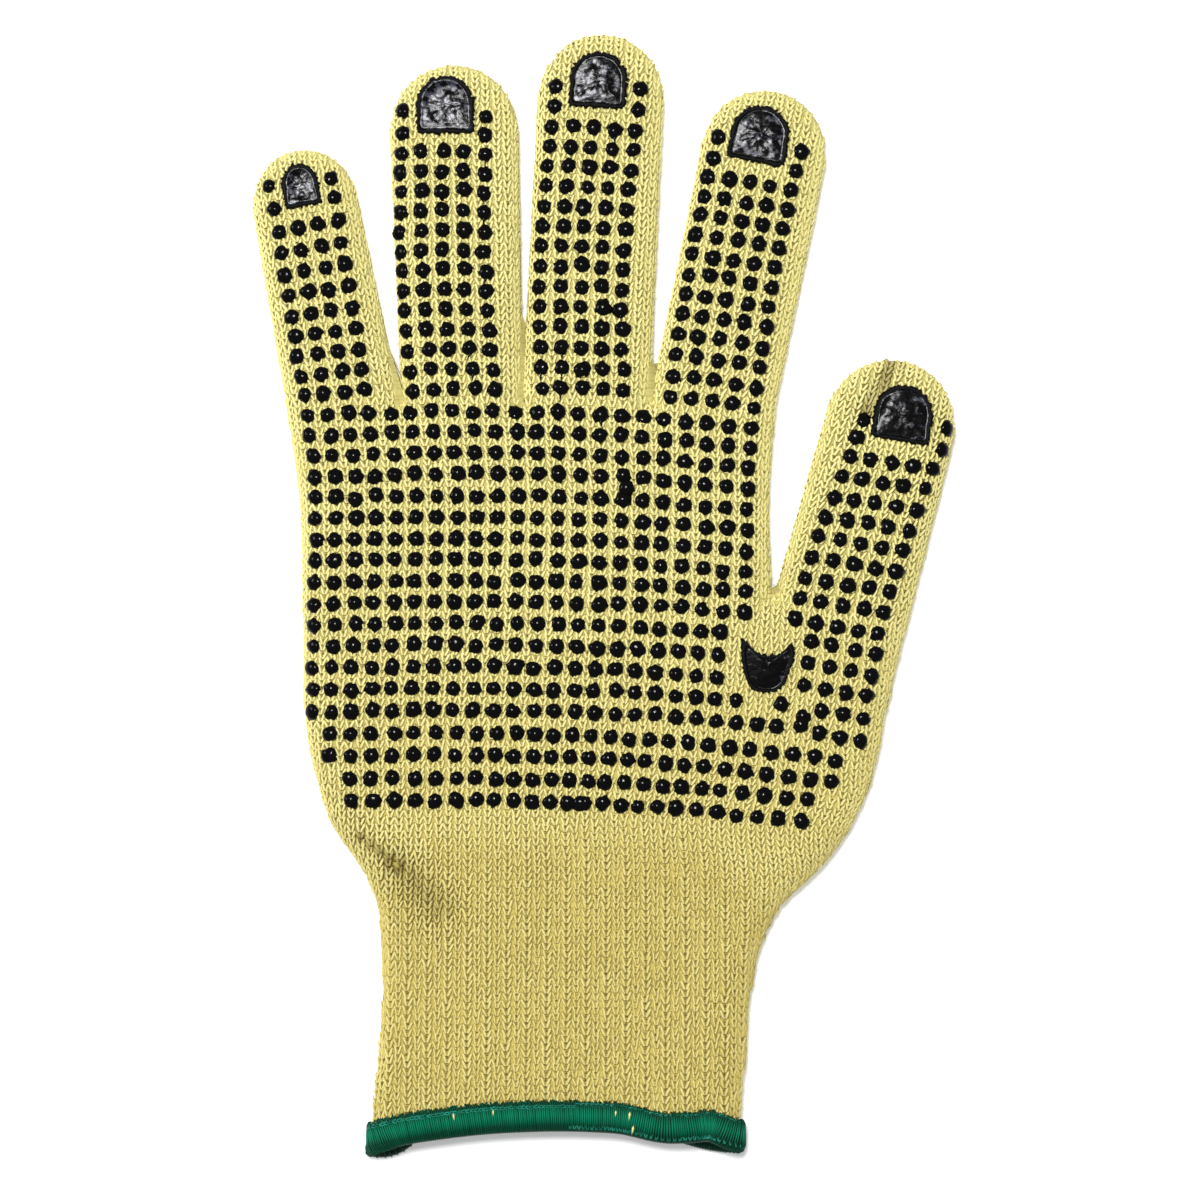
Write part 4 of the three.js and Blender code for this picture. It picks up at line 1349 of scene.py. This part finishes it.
def set_on_hem(name, shape, count, size, down, out, turn, finish, seed, reach=(0, 1), uneven=0.04, tilt=0.01):
    """Sets a shape at even places of a stretch of the hem. turn is in radians, in the plane of the hem."""
    top, way, up, outward = mouth_ring(count)
    stretch = slice(int(reach[0] * count), int(reach[1] * count))
    rng = np.random.default_rng(seed)
    place = top - up * down + outward * out
    across = way * math.cos(turn) + up * math.sin(turn)
    along = up * math.cos(turn) - way * math.sin(turn)
    size = np.array(size) * MM * rng.uniform(1 - uneven, 1 + uneven, (count, 3))
    facts = (place, across, along, np.cross(across, along), size)
    points = cloud(*(fact[stretch] for fact in facts), tint=rng.random(count)[stretch])
    return set_on(name, points, shape, finish, seed, tilt)


turns = round(around / THREAD_STEP)
hem_threads = set_on_hem("hem_threads", thread, turns, (1, 1, 1), HEM_HEIGHT, 0, SLANT, hem_thread,
                         SEEDS["threads"])
print("turns of thread:", turns, "faces:", len(hem_threads.data.polygons))

# %% Locking chain and lower loops
# the last one is painted shade down the sides of the links
CHAIN, CHAIN_LIGHT, CHAIN_SHADE = (0.002, 0.17, 0.10, 1), (0.03, 0.40, 0.29, 1), (0.0, 0.02, 0.01, 1)
LYING = -math.pi / 2
# Each row's step from link to link, the width, length and thickness of a link, how far down and out it lies,
# its turn, and the row's stretch: from the left edge at 0 over the palm side to the right edge at about 0.5.
LOCKING = table("name step size down out turn reach", [
    ("hem_top_chain", 0.95, (1.0, 0.95, 0.45), 1.3, 1.58, LYING, (0, 0.27)),
    ("hem_faint_chain", 1.1, (0.8, 0.9, 0.35), 0.75, 1.4, LYING, (0.27, 0.48)),
    ("hem_lower_loops", 1.0, (1.0, 0.8, 0.45), 6.0, 1.35, 0, (0.26, 0.5)),
])
LOCKING_UNEVEN, LOCKING_TILT = 0.2, 0.15


def chain_finish():
    """The thin locking threads: a little lighter than the wrapped one, not everywhere alike, with painted
    shade.
    """
    nodes = Finish("hem_chain")
    crest, light = nodes.attribute("crest"), nodes.mix(nodes.attribute("tint"), CHAIN, CHAIN_LIGHT)
    colour = nodes.mix(crest ** 2.0, CHAIN_SHADE, light)
    return nodes.done(Base_Color=colour, Roughness=0.5, Specular_IOR_Level=0.15)


hem_chain = chain_finish()
locking = []
for seed, row in enumerate(LOCKING, SEEDS["locking"]):
    count = round(around / row["step"])
    locking.append(set_on_hem(row["name"], stitch, count, row["size"], row["down"], row["out"], row["turn"],
                              hem_chain, seed, row["reach"], LOCKING_UNEVEN, LOCKING_TILT))
print("links and loops:", [len(piece.data.vertices) // len(stitch.data.vertices) for piece in locking])

# %% Flecks of yarn that the thread missed
# x and distance below the hem's top edge.
FLECKS = [(-33.4, 1.9), (-24.6, 1.9), (2.7, 2.1), (6.2, 2.1), (7.7, 4.9)]
FLECK_SIZE = (0.26, 1.5, 0.3)
FLECK_TILT, FLECK_CHANGE = 0.15, 0.2
FLECK_OUT = 1.75  # how far from the middle of the cloth a fleck lies, on top of the thread
FLECK_RING = 800
ON_PALM_SIDE = 0.5  # where the way out of the hem points up by more than this, it is on the palm side


def set_flecks():
    top, way, up, outward = mouth_ring(FLECK_RING)
    hidden = FAR * ~(outward[:, 2] > ON_PALM_SIDE)
    chosen = [int(np.argmin(np.abs(top[:, 0] - x) + hidden)) for x, _ in FLECKS]
    top, way, up, outward = (fact[chosen] for fact in (top, way, up, outward))
    place = top - up * np.array([[down] for _, down in FLECKS]) + outward * FLECK_OUT
    size = np.tile(np.array(FLECK_SIZE) * MM, (len(FLECKS), 1))
    points = cloud(place, way, up, np.cross(way, up), size, tint=np.ones(len(FLECKS)))
    return set_on("hem_flecks", points, tail, aramid_yarn, SEEDS["flecks"], FLECK_TILT, FLECK_CHANGE)


flecks = set_flecks()
print("flecks of yarn:", len(FLECKS))

# %% [markdown]
# ## The glove on the table
# Stitches round the edge reach a little below the table, and a real table would press them flat, so every
# corner is lifted to it. Then each piece rides on the glove's root, and the imported solids that the pieces
# stand for are hidden.

# %% Press, ride and replace
ON_TABLE = 0.02  # height of the lowest yarn over the table, in millimetres


def press_flat(mesh):
    """The table stops whatever would reach below it."""
    corners = corners_of(mesh)
    corners[:, 2] = np.maximum(corners[:, 2], ON_TABLE * MM)
    move_corners(mesh, corners)


SLOTS = {
    "aramid_knit": [shell, *knitted.values(), flecks],
    "grip_pvc": [grip_dots, dot_tails, *mouldings.values()],
    "hem_thread": [core, hem_threads, *locking],
}
for slot, pieces in SLOTS.items():
    for piece in pieces:
        press_flat(piece.data)
        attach(piece, "root")
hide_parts(*KNIT_NODES)
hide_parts("cuff_hem")
for node, piece in mouldings.items():
    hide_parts(node)
for spare in (stitch, dome, tail, thread):
    bpy.data.objects.remove(spare)
print("pieces:", {slot: len(pieces) for slot, pieces in SLOTS.items()})

# %% [markdown]
# ## The studio
# The photo was taken from straight above on a bright white sheet, under a strong soft light and a weaker one
# from the left. A long lens high over the glove keeps its sides from leaning outwards.

# %% Floor, light and camera
LIT_FROM_BELOW = 0.25  # the pale floor glows a little, though it is no lamp, and so softens the shadows and lights the glove from below
FLOOR_SIZE = 3.0
PAPER, WHITE = (0.95, 0.95, 0.95, 1), (1, 1, 1, 1)
SOFTBOXES = table("name place size power", [
    ("top_softbox", (-0.1, 0.22, 1.0), 0.2, 10.5),
    ("side_softbox", (-0.8, 0.25, 0.5), 0.3, 2.6),
])
ROOM_LIGHT = 0.34
LENS, SENSOR = 100.0, 36.0
VIEW_WIDTH = 0.2657  # what the photo's frame covers, in metres
VIEW_MIDDLE = (-0.0009, -0.0008)
VIEW_LEVEL = 0.009  # the height at which the frame covers that


def floor():
    bpy.ops.mesh.primitive_plane_add(size=FLOOR_SIZE, location=(0, 0, 0))
    plane = bpy.context.object
    plane.name = "floor"
    paper = Finish("glowing_floor_paper").done(Base_Color=PAPER, Roughness=0.9, Emission_Color=WHITE,
                                       Emission_Strength=LIT_FROM_BELOW)
    plane.data.materials.append(paper)


def softbox(name, place, size, power):
    data = bpy.data.lights.new(name, "AREA")
    data.shape, data.size, data.energy = "DISK", size, power
    made = in_scene(name, data)
    made.location = place
    made.rotation_euler = (-Vector(place)).to_track_quat("-Z", "Y").to_euler()


floor()
for box in SOFTBOXES:
    softbox(**box)
world = bpy.data.worlds.new("studio")
bpy.context.scene.world = world
world.use_nodes = True
sky = world.node_tree.nodes["Background"]
sky.inputs["Color"].default_value = WHITE
sky.inputs["Strength"].default_value = ROOM_LIGHT
bpy.context.scene.view_settings.view_transform = "Standard"

camera = in_scene("camera", bpy.data.cameras.new("camera"))
camera.data.lens, camera.data.sensor_width = LENS, SENSOR
camera.data.clip_start, camera.data.clip_end = 0.05, 10
camera.location = (*VIEW_MIDDLE, VIEW_WIDTH * LENS / SENSOR + VIEW_LEVEL)
bpy.context.scene.camera = camera
